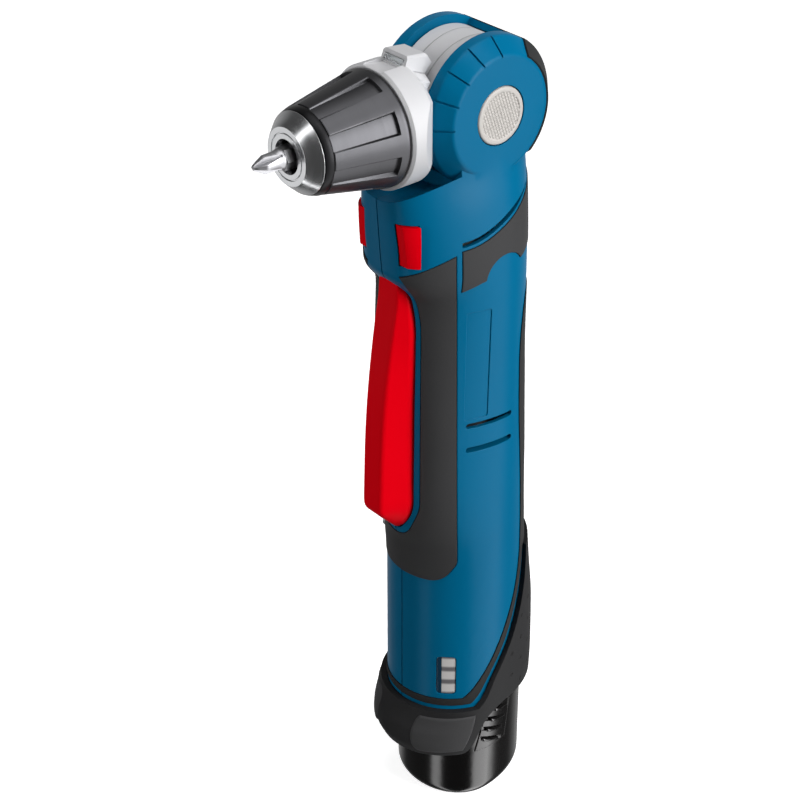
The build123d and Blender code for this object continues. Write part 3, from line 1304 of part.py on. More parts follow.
def gearbox_parts():
    """The gearbox case and its bearing, the ring, sun and planets, and the carrier with the drive shaft."""
    case = handle_turned([
        (gear_bottom, GEAR_CASE_RADIUS - GEAR_CASE_WALL),
        (gear_bottom, GEAR_CASE_RADIUS),
        (cavity_top - 0.1, GEAR_CASE_RADIUS),
        (cavity_top - 0.1, BEARING_RADIUS + FIT),
        (cavity_top - 4.2, BEARING_RADIUS + FIT),
        (cavity_top - 4.2, GEAR_CASE_RADIUS - GEAR_CASE_WALL),
    ])
    save("gearbox_case", case)
    bearing_bottom = cavity_top - 5.0
    save("pinion_bearing", handle_turned([
        (bearing_bottom, DRIVE_SHAFT_RADIUS + RUNNING),
        (bearing_bottom, BEARING_RADIUS),
        (cavity_top - 0.1, BEARING_RADIUS),
        (cavity_top - 0.1, DRIVE_SHAFT_RADIUS + RUNNING),
    ]))
    ring_outer = GEAR_CASE_RADIUS - GEAR_CASE_WALL - FIT
    ring_body = Pos(0, 0, teeth_low) * extrude(Circle(ring_outer), GEAR_WIDTH)
    inner = spur_outline(RING_TEETH, PLANET_MODULE, inner=True)
    gap_shape = Pos(0, 0, teeth_low - 1) * extrude(inner, GEAR_WIDTH + 2)
    save("ring_gear", ring_body - gap_shape)
    sun = Pos(0, 0, teeth_low - 1) * extrude(spur_outline(SUN_TEETH, PLANET_MODULE), GEAR_WIDTH + 1)
    sun = sun - Cylinder(MOTOR_SHAFT_RADIUS + RUNNING, 4 * pivot)
    save("sun_gear", sun)
    spacing = (SUN_TEETH + PLANET_TEETH) * PLANET_MODULE / 2
    planet = extrude(spur_outline(PLANET_TEETH, PLANET_MODULE), GEAR_WIDTH - 0.4)
    planet = planet - Cylinder(PLANET_PIN_RADIUS + RUNNING, 60)
    shaft_low = teeth_low + GEAR_WIDTH + 2.0
    carrier = Pos(0, 0, shaft_low) * Cylinder(CARRIER_RADIUS, CARRIER_THICKNESS)
    shaft_high = pinion_floor + BEVEL_FACE - 0.4
    step = pinion_floor - 3.5
    carrier = carrier + handle_turned([
        (shaft_low, 0),
        (shaft_low, DRIVE_SHAFT_RADIUS),
        (step, DRIVE_SHAFT_RADIUS),
        (step, PINION_BORE - RUNNING),
        (shaft_high, PINION_BORE - RUNNING),
        (shaft_high, 0),
    ])
    for index in range(3):
        angle = index * 120
        place = Rot(0, 0, angle) * Pos(spacing, 0, 0)
        turned = Rot(0, 0, planet_phase(angle) - angle) * planet
        save(f"planet_gear_{index + 1}", Pos(0, 0, teeth_low + 0.2) * place * turned)
        pin = Pos(0, 0, teeth_low + GEAR_WIDTH / 2 + 1) * Cylinder(PLANET_PIN_RADIUS, GEAR_WIDTH + 1)
        carrier = carrier + place * pin
    save("planet_carrier", carrier)


def planet_phase(angle):
    """Turn of a planet about its own pin that puts a gap on the sun's tooth line at that carrier angle.

    The sun has a tooth on +X. Rolling the planet round the fixed sun by the carrier angle adds the same turn
    scaled by the tooth counts.
    """
    return 180 + 180 / PLANET_TEETH + angle * (1 + SUN_TEETH / PLANET_TEETH)


def motor_parts():
    """The motor: can, magnets, end cap with its brushes, rotor, fan and shaft."""
    can_inside = MOTOR_RADIUS - MOTOR_CAN_WALL
    magnet_inside = can_inside - FIT - MAGNET_THICKNESS
    can = handle_turned([
        (motor_bottom, can_inside),
        (motor_bottom, MOTOR_RADIUS),
        (motor_top - MOTOR_FLANGE, MOTOR_RADIUS),
        (motor_top - MOTOR_FLANGE, GEAR_CASE_RADIUS),
        (motor_top, GEAR_CASE_RADIUS),
        (motor_top, MOTOR_SHAFT_RADIUS + RUNNING),
        (motor_top - MOTOR_FLANGE, MOTOR_SHAFT_RADIUS + RUNNING),
        (motor_top - MOTOR_FLANGE, can_inside),
    ])
    save("motor_can", can)
    magnet_low = motor_bottom + 7
    magnet_high = motor_top - 8
    sleeve = handle_turned([
        (magnet_low, magnet_inside),
        (magnet_low, can_inside - FIT),
        (magnet_high, can_inside - FIT),
        (magnet_high, magnet_inside),
    ])
    gaps = Pos(0, 0, motor_bottom + 20) * Box(100, 8, 100)
    save("motor_magnets", sleeve - gaps)
    cap = handle_turned([
        (end_cap_bottom, MOTOR_SHAFT_RADIUS + RUNNING),
        (end_cap_bottom, MOTOR_RADIUS),
        (motor_bottom, MOTOR_RADIUS),
        (motor_bottom, MOTOR_SHAFT_RADIUS + RUNNING),
    ])
    brush_length = MOTOR_RADIUS - 2.0 - COMMUTATOR_RADIUS - RUNNING
    brush_middle = COMMUTATOR_RADIUS + RUNNING + brush_length / 2
    for side in (1, -1):
        cap = cap + Pos(side * brush_middle, 0, motor_bottom + 2.2) * Box(brush_length, 3.2, 4.4)
    save("motor_end_cap", cap)
    core_radius = magnet_inside - AIR_GAP
    core_place = Pos(0, 0, motor_bottom + ROTOR_MIDDLE)
    stack = core_place * Cylinder(core_radius, 26)
    slot = Pos(core_radius, 0, 0) * Box(5.0, 1.6, 30)
    for index in range(ROTOR_SLOTS):
        stack = stack - core_place * Rot(0, 0, 360 / ROTOR_SLOTS * index) * slot
    windings = core_place * Cylinder(core_radius - 2.8, 33)
    commutator = Pos(0, 0, motor_bottom + 4.2) * Cylinder(COMMUTATOR_RADIUS, 7.6)
    rotor = stack + windings + commutator
    rotor = rotor - Cylinder(MOTOR_SHAFT_RADIUS + RUNNING, 4 * pivot)
    save("rotor", rotor)
    fan_place = Pos(0, 0, motor_top - 7.0)
    fan = fan_place * Cylinder(FAN_HUB_RADIUS, 4.6)
    fan = fan + Pos(0, 0, motor_top - 8.8) * Cylinder(core_radius, 1.0)
    blade_inside = FAN_HUB_RADIUS - 0.2
    blade_length = core_radius - 0.4 - blade_inside
    blade = Pos(blade_inside + blade_length / 2, 0, 0) * Rot(0, 0, 25) * Box(blade_length, 0.8, 4.0)
    for index in range(FAN_BLADES):
        fan = fan + fan_place * Rot(0, 0, 360 / FAN_BLADES * index) * blade
    fan = fan - Cylinder(MOTOR_SHAFT_RADIUS + RUNNING, 4 * pivot)
    save("cooling_fan", fan)
    shaft_low = end_cap_bottom + 1.0
    shaft_high = teeth_low + GEAR_WIDTH
    shaft = Pos(0, 0, (shaft_low + shaft_high) / 2) * Cylinder(MOTOR_SHAFT_RADIUS, shaft_high - shaft_low)
    save("motor_shaft", shaft)


def oval(half, front, rear):
    """A face of two half ellipses, like the handle's own section."""
    front_part = Ellipse(half, front) - Pos(0, 50) * Rectangle(200, 100)
    rear_part = Ellipse(half, rear) - Pos(0, -50) * Rectangle(200, 100)
    return front_part + rear_part


cell_ring = CELL_RADIUS * 2 / math.sqrt(3)
cell_angles = (-90, 30, 150)
cell_places = [
    (cell_ring * math.cos(math.radians(angle)), CELL_SHIFT + cell_ring * math.sin(math.radians(angle)))
    for angle in cell_angles
]
foot_half = HANDLE_HALF_WIDTH - WALL - BATTERY_GAP
plug_rear = HANDLE_REAR - 0.4 - WALL - BATTERY_GAP
foot_step = BASE_EDGE + 17.4
latch_low = BASE_EDGE - 3.5
latch_high = BASE_EDGE + 13.0


def latch_block(gap, inner, outer):
    """Slanted outline of a battery latch button as a prism across the foot's side."""
    outline = Polyline(
        (LATCH_FRONT - gap, latch_low - gap),
        (LATCH_REAR - 3 + gap, latch_low - gap),
        (LATCH_REAR + gap, latch_high + gap),
        (LATCH_FRONT + 4 - gap, latch_high + gap),
        close=True,
    )
    return side_block(outline, inner, outer)


def battery_parts():
    """The battery case with its cells and contacts, the block that they plug into, and the latch buttons."""
    foot = extrude(oval(foot_half, FOOT_FRONT, FOOT_REAR), foot_step)
    foot = fillet(foot.edges().group_by(Axis.Z)[0], FOOT_ROUND)
    plug = extrude(oval(foot_half - 0.1, FOOT_FRONT - 0.1, plug_rear), FOOT_HEIGHT - foot_step + 1)
    foot = foot + Pos(0, 0, foot_step - 1) * plug
    stem_face = offset(make_face(Polyline(*cell_places, close=True)), CELL_RADIUS + STEM_WALL, kind=Kind.ARC)
    stem = Pos(0, 0, FOOT_HEIGHT - 1) * extrude(stem_face, STEM_TOP - FOOT_HEIGHT + 1)
    case = foot + stem
    pocket = CELL_LENGTH + CELL_ROOM
    for place in cell_places:
        case = case - Pos(*place, CELL_FLOOR + pocket / 2) * Cylinder(CELL_RADIUS + FIT, pocket)
    latch_room = latch_block(LATCH_GAP, foot_half - LATCH_DEPTH - LATCH_TRAVEL - LATCH_GAP, 40)
    case = case - latch_room - latch_room.mirror(Plane.YZ)
    save("battery_case", case)
    cell = Pos(0, 0, CELL_FLOOR + CELL_LENGTH / 2) * Cylinder(CELL_RADIUS, CELL_LENGTH)
    save("battery_cells", Compound([Pos(*place, 0) * cell for place in cell_places]))
    contact_middle = STEM_TOP + CONTACT_SIZE[2] / 2
    blades = [Pos(x, CONTACT_Y, contact_middle) * Box(*CONTACT_SIZE) for x in CONTACT_PLACES]
    save("battery_contacts", Compound(blades))
    block_low = STEM_TOP + 1.0
    block_high = shelf_top - SHELF
    block = Pos(0, CONTACT_Y, (block_low + block_high) / 2) * Box(*TERMINAL_SIZE, block_high - block_low)
    slot = Box(CONTACT_SIZE[0] + 2 * SLIDE_GAP, CONTACT_SIZE[1] + 2 * SLIDE_GAP, CONTACT_SIZE[2] + 0.4)
    for x in CONTACT_PLACES:
        block = block - Pos(x, CONTACT_Y, block_low + 3.4) * slot
    save("terminal_block", block)
    button = latch_block(0, foot_half - LATCH_DEPTH, 40)
    proud_foot = oval(foot_half + LATCH_PROUD, FOOT_FRONT + LATCH_PROUD, FOOT_REAR + LATCH_PROUD)
    button = button & extrude(proud_foot, FOOT_HEIGHT + 10)
    groove = Rot(-24, 0, 0) * Box(1.1, 30, 1.6)
    for index in range(LATCH_GROOVES):
        groove_z = latch_low + 2.2 + LATCH_PITCH * index
        button = button - Pos(foot_half + LATCH_PROUD, 3.0 + 0.9 * index, groove_z) * groove
    save("battery_latch_right", button)
    save("battery_latch_left", button.mirror(Plane.YZ))


right_half, left_half = housings()
save("housing_right", right_half)
save("housing_left", left_half)
save("housing_screws", housing_screws())
rubber_panels()
charge_parts()
trigger_parts()
switch_parts()
selector()
release_parts()
gear_head()
collar_parts()
bevel_parts()
spindle_parts()
chuck_parts()
driver_bit()
gearbox_parts()
motor_parts()
battery_parts()
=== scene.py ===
# %% [markdown]
# # A right angle drill driver
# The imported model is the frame: every node already has its size and its place, in metres, with
# +Z up the handle and the chuck pointing along -Y. This script gives each node its finish, and adds
# the fine surfaces that a camera sees and a gear doesn't.

import math

import bmesh
import bpy
import numpy as np
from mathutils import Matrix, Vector


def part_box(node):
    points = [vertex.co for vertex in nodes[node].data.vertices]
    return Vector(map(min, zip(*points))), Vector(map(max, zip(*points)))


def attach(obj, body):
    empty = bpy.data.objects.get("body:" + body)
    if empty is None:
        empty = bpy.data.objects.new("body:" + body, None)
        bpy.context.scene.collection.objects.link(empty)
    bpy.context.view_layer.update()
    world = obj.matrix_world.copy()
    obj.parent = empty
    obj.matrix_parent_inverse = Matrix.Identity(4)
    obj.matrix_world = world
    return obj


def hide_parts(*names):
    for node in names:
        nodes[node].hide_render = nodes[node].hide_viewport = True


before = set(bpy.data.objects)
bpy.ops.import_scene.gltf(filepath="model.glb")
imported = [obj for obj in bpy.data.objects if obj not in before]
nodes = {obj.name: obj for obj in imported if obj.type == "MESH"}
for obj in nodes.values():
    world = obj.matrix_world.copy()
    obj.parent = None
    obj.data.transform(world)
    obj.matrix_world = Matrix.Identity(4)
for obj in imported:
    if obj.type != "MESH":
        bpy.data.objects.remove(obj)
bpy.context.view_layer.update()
MM = 0.001

# %% [markdown]
# A CAD node arrives as loose triangles. Welding them lets Blender smooth the shading over a curved
# skin, and splitting at the real edges keeps those crisp. Both are modifiers, so the node's own mesh
# stays as it was packed.

# %% Smooth the CAD skins and keep their edges
WELD_GAP = 0.002 * MM
SHARP_EDGE = math.radians(32)


def keep_edges(piece):
    """Smooth shading that breaks where two faces meet at more than the sharp angle."""
    split = piece.modifiers.new("edges", "EDGE_SPLIT")
    split.split_angle = SHARP_EDGE
    piece.data.shade_smooth()


for node in nodes.values():
    weld = node.modifiers.new("weld", "WELD")
    weld.merge_threshold = WELD_GAP
    keep_edges(node)
print("smoothed", len(nodes), "nodes")


# %% [markdown]
# Colours are written as sRGB hex, the way a paint chart gives them. Shaders add light, so they need
# linear values, and one function turns the first into the second. A second small function adds a node
# with its settings and links: every finish below is built with it.

# %% Colour and node helpers
NODE_SETTINGS = {
    "Math": ["operation"],
    "VectorMath": ["operation"],
    "MapRange": ["interpolation_type"],
    "Mix": ["data_type"],
    "Bevel": ["samples"],
}


def linear(text):
    """An sRGB hex colour as linear RGBA: the usual curve, with its straight piece near black."""
    channels = np.array([int(text[at:at + 2], 16) for at in (1, 3, 5)]) / 255
    low = channels / 12.92
    high = ((channels + 0.055) / 1.055) ** 2.4
    return (*np.where(channels <= 0.04045, low, high).tolist(), 1.0)


def add(tree, kind, *settings, **inputs):
    """One shader node. Settings go in turn to the attributes that NODE_SETTINGS names for its kind. An input
    is a value or a socket, and goes by its name or, as _N, by its number."""
    node = tree.nodes.new("ShaderNode" + kind)
    for name, value in zip(NODE_SETTINGS.get(kind, ()), settings):
        setattr(node, name, value)
    for name, value in inputs.items():
        socket = node.inputs[int(name[1:])] if name[0] == "_" else node.inputs[name.replace("_", " ")]
        if isinstance(value, bpy.types.NodeSocket):
            tree.links.new(value, socket)
        else:
            socket.default_value = value
    return node


def per_mm(size):
    """The texture scale whose pattern repeats about every size millimetres of Object coordinates."""
    return 1.0 / (size * MM)


def blank(name):
    """A new material with an empty Principled surface, and its tree and Object coordinates."""
    material = bpy.data.materials.new(name)
    material.use_nodes = True
    tree = material.node_tree
    tree.nodes.clear()
    surface = add(tree, "BsdfPrincipled")
    add(tree, "OutputMaterial", Surface=surface.outputs["BSDF"])
    place = add(tree, "TexCoord").outputs["Object"]
    return material, tree, surface, place


# %% [markdown]
# Moulded plastic and rubber share one make-up: the mould's spark-eroded grain shows as a fine bump,
# the gloss wanders a little where hands have polished it, and the colour drifts by a shade. No mould
# gives a knife edge, so a Bevel node rounds the shading over each edge by the radius of the mould's
# own corners. What sets the plastics apart is the size of the grain, its depth and the gloss.

# %% Moulded finishes
EDGE_ROUND = 0.35
BEVEL_SAMPLES = 6
DRIFT_SIZE = 24
PLASTIC_IOR = 1.5


def moulded(name, colour, drift, grain, depth, gloss, spread, specular=0.5, extra=None):
    """A moulded polymer: two colours mixed by a slow noise, grain of a size and depth in mm, roughness
    from gloss to gloss plus spread. Extra is a function that changes the colour and the normal."""
    material, tree, surface, place = blank(name)
    slow = add(tree, "TexNoise", Vector=place, Scale=per_mm(DRIFT_SIZE), Detail=3.0).outputs["Fac"]
    height = add(tree, "TexNoise", Vector=place, Scale=per_mm(grain), Detail=2.0).outputs["Fac"]
    shade = add(tree, "Mix", "RGBA", Factor=slow, _6=linear(colour), _7=linear(drift))
    colour_out = shade.outputs[2]
    round_edge = add(tree, "Bevel", BEVEL_SAMPLES, Radius=EDGE_ROUND * MM).outputs["Normal"]
    bump = add(tree, "Bump", Height=height, Normal=round_edge, Distance=depth * MM, Strength=1.0)
    normal_out = bump.outputs["Normal"]
    if extra:
        colour_out, normal_out = extra(tree, place, colour_out, normal_out)
    rough = add(tree, "MapRange", Value=slow, _3=gloss, _4=gloss + spread)
    tree.links.new(colour_out, surface.inputs["Base Color"])
    tree.links.new(rough.outputs["Result"], surface.inputs["Roughness"])
    tree.links.new(normal_out, surface.inputs["Normal"])
    surface.inputs["IOR"].default_value = PLASTIC_IOR
    surface.inputs["Specular IOR Level"].default_value = specular
    return material


blue_nylon = moulded("glass_filled_nylon_blue", "#006188", "#00678F", 0.5, 0.006, 0.30, 0.06,
                     specular=0.06)
red_acetal = moulded("acetal_red", "#F20016", "#E80012", 0.7, 0.006, 0.34, 0.08, specular=0.02)
black_nylon = moulded("nylon_black", "#161617", "#1B1B1C", 0.6, 0.015, 0.45, 0.10)
battery_abs = moulded("gloss_abs_black", "#050404", "#070606", 1.5, 0.001, 0.16, 0.03)
grey_nylon = moulded("nylon_grey", "#B9B5B1", "#B2AEAA", 0.6, 0.010, 0.45, 0.10)
print("moulded finishes ready")

# %% [markdown]
# The rubber is a soft grade moulded over the nylon, matt and charcoal. Above the battery's latches the
# boot has small dimples in slanting rows, darkened with painted shade. Each point of the rubber looks
# for the nearest dimple: its place in the rows is rounded to a whole number both ways, and what is left
# over is the distance.

# %% Rubber finishes
DIMPLE_START = (6.9, 61.0)
DIMPLE_COLUMN = 5.4
DIMPLE_ROW = 9.1
DIMPLE_SLANT = 3.9
DIMPLE_RADIUS = 0.85
DIMPLE_FLOOR = 0.6
DIMPLE_DEPTH = 0.4
# Painted shade: the dark colour the dimples are mixed towards, for the shade inside them
DIMPLE_SHADE = "#141414"
DIMPLE_ZONE = (45.5, 86.0)


def dimples(tree, place, colour, normal):
    """Dips where the distance to the nearest place of a slanting lattice in Y and Z is small, darkened with
    painted shade.
    """
    parts = add(tree, "SeparateXYZ", Vector=place)
    column = add(tree, "Math", "SUBTRACT", _0=parts.outputs["Y"], _1=DIMPLE_START[0] * MM).outputs[0]
    column = add(tree, "Math", "DIVIDE", _0=column, _1=DIMPLE_COLUMN * MM).outputs[0]
    row = add(tree, "Math", "SUBTRACT", _0=parts.outputs["Z"], _1=DIMPLE_START[1] * MM).outputs[0]
    near_column = add(tree, "Math", "ROUND", _0=column).outputs[0]
    slant = add(tree, "Math", "MULTIPLY", _0=near_column, _1=DIMPLE_SLANT * MM).outputs[0]
    row = add(tree, "Math", "SUBTRACT", _0=row, _1=slant).outputs[0]
    row = add(tree, "Math", "DIVIDE", _0=row, _1=DIMPLE_ROW * MM).outputs[0]
    near_row = add(tree, "Math", "ROUND", _0=row).outputs[0]
    across = add(tree, "Math", "SUBTRACT", _0=column, _1=near_column).outputs[0]
    across = add(tree, "Math", "MULTIPLY", _0=across, _1=DIMPLE_COLUMN * MM).outputs[0]
    along = add(tree, "Math", "SUBTRACT", _0=row, _1=near_row).outputs[0]
    along = add(tree, "Math", "MULTIPLY", _0=along, _1=DIMPLE_ROW * MM).outputs[0]
    gap = add(tree, "CombineXYZ", X=across, Y=along).outputs[0]
    gap = add(tree, "VectorMath", "LENGTH", _0=gap).outputs["Value"]
    dip = add(tree, "MapRange", "SMOOTHSTEP", Value=gap,
              _1=DIMPLE_RADIUS * MM, _2=DIMPLE_FLOOR * DIMPLE_RADIUS * MM).outputs[0]
    behind = add(tree, "Math", "GREATER_THAN", _0=near_column, _1=-0.5).outputs[0]
    under = add(tree, "Math", "LESS_THAN", _0=parts.outputs["Z"], _1=DIMPLE_ZONE[1] * MM).outputs[0]
    above = add(tree, "Math", "GREATER_THAN", _0=parts.outputs["Z"], _1=DIMPLE_ZONE[0] * MM).outputs[0]
    zone = add(tree, "Math", "MULTIPLY", _0=under, _1=above).outputs[0]
    zone = add(tree, "Math", "MULTIPLY", _0=zone, _1=behind).outputs[0]
    spot = add(tree, "Math", "MULTIPLY", _0=dip, _1=zone).outputs[0]
    shade = add(tree, "Mix", "RGBA", Factor=spot, _6=colour, _7=linear(DIMPLE_SHADE))
    bump = add(tree, "Bump", Height=spot, Normal=normal, Distance=-DIMPLE_DEPTH * MM)
    return shade.outputs[2], bump.outputs["Normal"]


grip_rubber = moulded("thermoplastic_rubber_charcoal", "#2F2F30", "#353536", 0.6, 0.02, 0.58, 0.12,
                      specular=0.14)
boot_rubber = moulded("thermoplastic_rubber_boot", "#1C1C1D", "#212122", 0.6, 0.02, 0.58, 0.12,
                      specular=0.12, extra=dimples)
# The spine and the head's bumper take a darker copy of the grip's rubber: painted shade for the dark rear
# edge that the key light only grazes
shaded_spine_rubber = moulded("thermoplastic_rubber_spine_shaded", "#242425", "#292A2A", 0.6, 0.02, 0.60, 0.12,
                       specular=0.10)
pad_rubber = moulded("thermoplastic_rubber_pad", "#39393A", "#3F3F40", 0.6, 0.02, 0.60, 0.12,
                     specular=0.14)
print("rubber finishes ready")

# %% [markdown]
# The gear head is cast, turned and sprayed a pale grey. Under the paint the barrel keeps the shallow
# grooves of the turning, so its finish has two rings about the tilt axis, along X. Painted shade darkens
# the rings.

# %% Painted castings
GROOVES = (-3.4, 3.4)
GROOVE_WIDTH = 0.35
GROOVE_DEPTH = 0.25
# Painted shade: the darker colour laid in the grooves
GROOVE_SHADE = "#A9A9AA"


def turned_grooves(tree, place, colour, normal):
    """A dip that fades out over the groove's width, along X, on both sides of each groove, darkened with
    painted shade.
    """
    across = add(tree, "SeparateXYZ", Vector=place).outputs["X"]
    cut = 0.0
    for groove in GROOVES:
        away = add(tree, "Math", "SUBTRACT", _0=across, _1=groove * MM).outputs[0]
        away = add(tree, "Math", "ABSOLUTE", _0=away).outputs[0]
        near = add(tree, "MapRange", "SMOOTHSTEP", Value=away,
                   _1=0.0, _2=GROOVE_WIDTH * MM, _3=1.0, _4=0.0).outputs["Result"]
        cut = add(tree, "Math", "ADD", _0=near, _1=cut).outputs[0]
    shade = add(tree, "Mix", "RGBA", Factor=cut, _6=colour, _7=linear(GROOVE_SHADE))
    bump = add(tree, "Bump", Height=cut, Normal=normal, Distance=-GROOVE_DEPTH * MM)
    return shade.outputs[2], bump.outputs["Normal"]


collar_paint = moulded("painted_cast_aluminium", "#C8C8CA", "#C0C0C3", 0.8, 0.006, 0.36, 0.08,
                       specular=0.4)
# The barrel's paint is a shade lighter than the collar's: painted light, lifting the barrel where it sits in
# the shade between the cheeks
lightened_barrel_paint = moulded("painted_cast_aluminium_turned_lightened", "#CDCDCF", "#C4C4C7", 0.8, 0.006, 0.36, 0.08,
                       specular=0.4, extra=turned_grooves)
print("painted castings ready")

# %% [markdown]
# Metals differ in how the last tool left them. Turned steel has fine rings round its axis, which
# stretch a highlight across them; ground and plated steel is almost plain.

# %% Metal finishes
TINT_SIZE = 9
RING_SIZE = 0.5
RING_DEPTH = 0.003
RING_STRETCH = 0.02
ROUGH_SPREAD = (-0.05, 0.07)
METAL_EDGE = 0.12


def metal(name, colour, drift, roughness, ring_axis=None):
    """A metal: two tints by a slow noise, and a fine grain, which a ring axis draws out into turned lines."""
    material, tree, surface, place = blank(name)
    slow = add(tree, "TexNoise", Vector=place, Scale=per_mm(TINT_SIZE), Detail=3.0).outputs["Fac"]
    shade = add(tree, "Mix", "RGBA", Factor=slow, _6=linear(colour), _7=linear(drift))
    tree.links.new(shade.outputs[2], surface.inputs["Base Color"])
    surface.inputs["Metallic"].default_value = 1.0
    stretch = [1.0 if ring_axis in (None, axis) else RING_STRETCH for axis in "XYZ"]
    along = add(tree, "Mapping", Vector=place, Scale=stretch).outputs["Vector"]
    fine = add(tree, "TexNoise", Vector=along, Scale=per_mm(RING_SIZE), Detail=2.0).outputs["Fac"]
    smoothest, roughest = (roughness + part for part in ROUGH_SPREAD)
    rough = add(tree, "MapRange", Value=fine, _3=smoothest, _4=roughest)
    round_edge = add(tree, "Bevel", BEVEL_SAMPLES, Radius=METAL_EDGE * MM).outputs["Normal"]
    bump = add(tree, "Bump", Height=fine, Normal=round_edge, Distance=RING_DEPTH * MM, Strength=1.0)
    tree.links.new(rough.outputs["Result"], surface.inputs["Roughness"])
    tree.links.new(bump.outputs["Normal"], surface.inputs["Normal"])
    return material


sleeve_steel = metal("blackened_steel_sleeve", "#3A3A3C", "#343436", 0.36, "Y")
band_steel = metal("blackened_steel_band", "#1C1C1D", "#181819", 0.34, "Y")
bright_steel = metal("turned_steel_bright", "#C9CACC", "#BFC0C2", 0.22, "Y")
ground_steel = metal("ground_tool_steel", "#949496", "#858588", 0.26)
bit_steel = metal("forged_bit_steel", "#8C8C8E", "#7C7C7F", 0.38)
gear_steel = metal("gear_steel", "#8C8D90", "#7C7D80", 0.32)
zinc_plate = metal("zinc_plated_steel", "#B9BBBD", "#ADAFB2", 0.30)
spring_steel = metal("spring_steel", "#9A9B9D", "#8E8F92", 0.28)
copper = metal("enamelled_copper", "#B4703E", "#A86436", 0.30)
brass = metal("contact_brass", "#C9A45A", "#BE984E", 0.28)
magnet = metal("sintered_ferrite", "#4A4A4C", "#424244", 0.55)
print("metal finishes ready")

# %% [markdown]
# The lamp's lens is clear, so it uses transmission. The charge window is a milky light guide with
# three pale fields and a darker web between them, over the board that lights it. Its front side is
# painted the dark of the recess's wall in shade: painted shade. The cells have a plain shrunk film.

# %% Clear and inner finishes
FLOW_SIZE = 6
FLOW_SPREAD = 0.06
LENS_IOR = 1.58
WINDOW_FIELD = 5.4
WEB_WIDTH = 1.5
WEB_CORE = 0.3
WEB_COLOUR = "#6D6B6E"
WINDOW_BACK = 2.4
WALL_EDGE = 0.5
# Painted shade: the dark of the recess's shaded wall, laid on the window's front side
WALL_SHADE = "#0A2F45"


def clear(name, colour, roughness):
    """A clear polycarbonate: full transmission, tinted, with a faint flow mark in its gloss."""
    material, tree, surface, place = blank(name)
    flow = add(tree, "TexNoise", Vector=place, Scale=per_mm(FLOW_SIZE), Detail=2.0).outputs["Fac"]
    rough = add(tree, "MapRange", Value=flow, _3=roughness, _4=roughness + FLOW_SPREAD)
    tree.links.new(rough.outputs["Result"], surface.inputs["Roughness"])
    surface.inputs["Base Color"].default_value = linear(colour)
    surface.inputs["Transmission Weight"].default_value = 1.0
    surface.inputs["IOR"].default_value = LENS_IOR
    return material


def window_fields(tree, place, colour, normal):
    """Along Z the distance folds at each field, and its ends are the webs. Where X plus Y is small, at the
    front, the window's own side takes the dark of the recess's wall in shade: painted shade."""
    low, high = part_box("charge_window")
    parts = add(tree, "SeparateXYZ", Vector=place)
    start = (low[2] + high[2]) / 2 - WINDOW_FIELD * MM / 2
    rise = add(tree, "Math", "SUBTRACT", _0=parts.outputs["Z"], _1=start).outputs[0]
    fold = add(tree, "Math", "PINGPONG", _0=rise, _1=WINDOW_FIELD * MM / 2).outputs[0]
    web = add(tree, "MapRange", "SMOOTHSTEP", Value=fold,
              _1=WEB_CORE * WEB_WIDTH * MM, _2=WEB_WIDTH * MM, _3=1.0, _4=0.0).outputs[0]
    shade = add(tree, "Mix", "RGBA", Factor=web, _6=colour, _7=linear(WEB_COLOUR)).outputs[2]
    front = (low[0] + low[1] + high[0] + high[1]) / 2 - WINDOW_BACK * MM
    back = add(tree, "Math", "ADD", _0=parts.outputs["X"], _1=parts.outputs["Y"]).outputs[0]
    wall = add(tree, "MapRange", "SMOOTHSTEP", Value=back,
               _1=front, _2=front + WALL_EDGE * MM, _3=1.0, _4=0.0).outputs[0]
    shade = add(tree, "Mix", "RGBA", Factor=wall, _6=shade, _7=linear(WALL_SHADE)).outputs[2]
    return shade, normal


lamp_polycarbonate = clear("polycarbonate_clear", "#F4F6F7", 0.05)
window_acrylic = moulded("milky_acrylic", "#DAD7D5", "#C6C3C2", 2.0, 0.004, 0.20, 0.05,
                         extra=window_fields)
board_laminate = moulded("glass_fibre_board", "#D9DCDD", "#C8CCCE", 1.2, 0.01, 0.35, 0.1)
cell_film = moulded("cell_wrap_film", "#2F6F58", "#2A6450", 3.0, 0.01, 0.3, 0.1)
print("clear finishes ready")

# %% Give every node its finish
finishes = {
    blue_nylon: "housing_right housing_left",
    grip_rubber: "grip_panel_right grip_panel_left shoulder_panel_right shoulder_panel_left",
    shaded_spine_rubber: "spine_grip head_bumper",
    boot_rubber: "base_boot",
    red_acetal: "trigger selector",
    collar_paint: "head_collar",
    lightened_barrel_paint: "gear_head_case",
    black_nylon: "switch_body motor_end_cap cooling_fan terminal_block",
    grey_nylon: "release_button_right release_button_left switch_plunger gearbox_case",
    battery_abs: "battery_case battery_latch_right battery_latch_left",
    sleeve_steel: "chuck_sleeve",
    bright_steel: "chuck_body",
    ground_steel: "chuck_jaw_1 chuck_jaw_2 chuck_jaw_3",
    bit_steel: "driver_bit",
    gear_steel: "spindle spindle_bevel_gear idler_gear idler_axle drive_pinion planet_carrier ring_gear "
                "sun_gear planet_gear_1 planet_gear_2 planet_gear_3 jaw_nut",
    zinc_plate: "housing_screws motor_can motor_shaft pinion_bearing spindle_bearing trigger_pin",
    spring_steel: "trigger_spring release_spring_right release_spring_left",
    copper: "rotor",
    brass: "battery_contacts",
    magnet: "motor_magnets",
    lamp_polycarbonate: "lamp_lens",
    window_acrylic: "charge_window",
    board_laminate: "charge_board control_board lamp_board",
    cell_film: "battery_cells",
}
for finish, names in finishes.items():
    for name in names.split():
        nodes[name].data.materials.clear()
        nodes[name].data.materials.append(finish)
bare = set(nodes) - set(" ".join(finishes.values()).split())
print("finished", len(nodes) - len(bare), "nodes, bare:", sorted(bare))
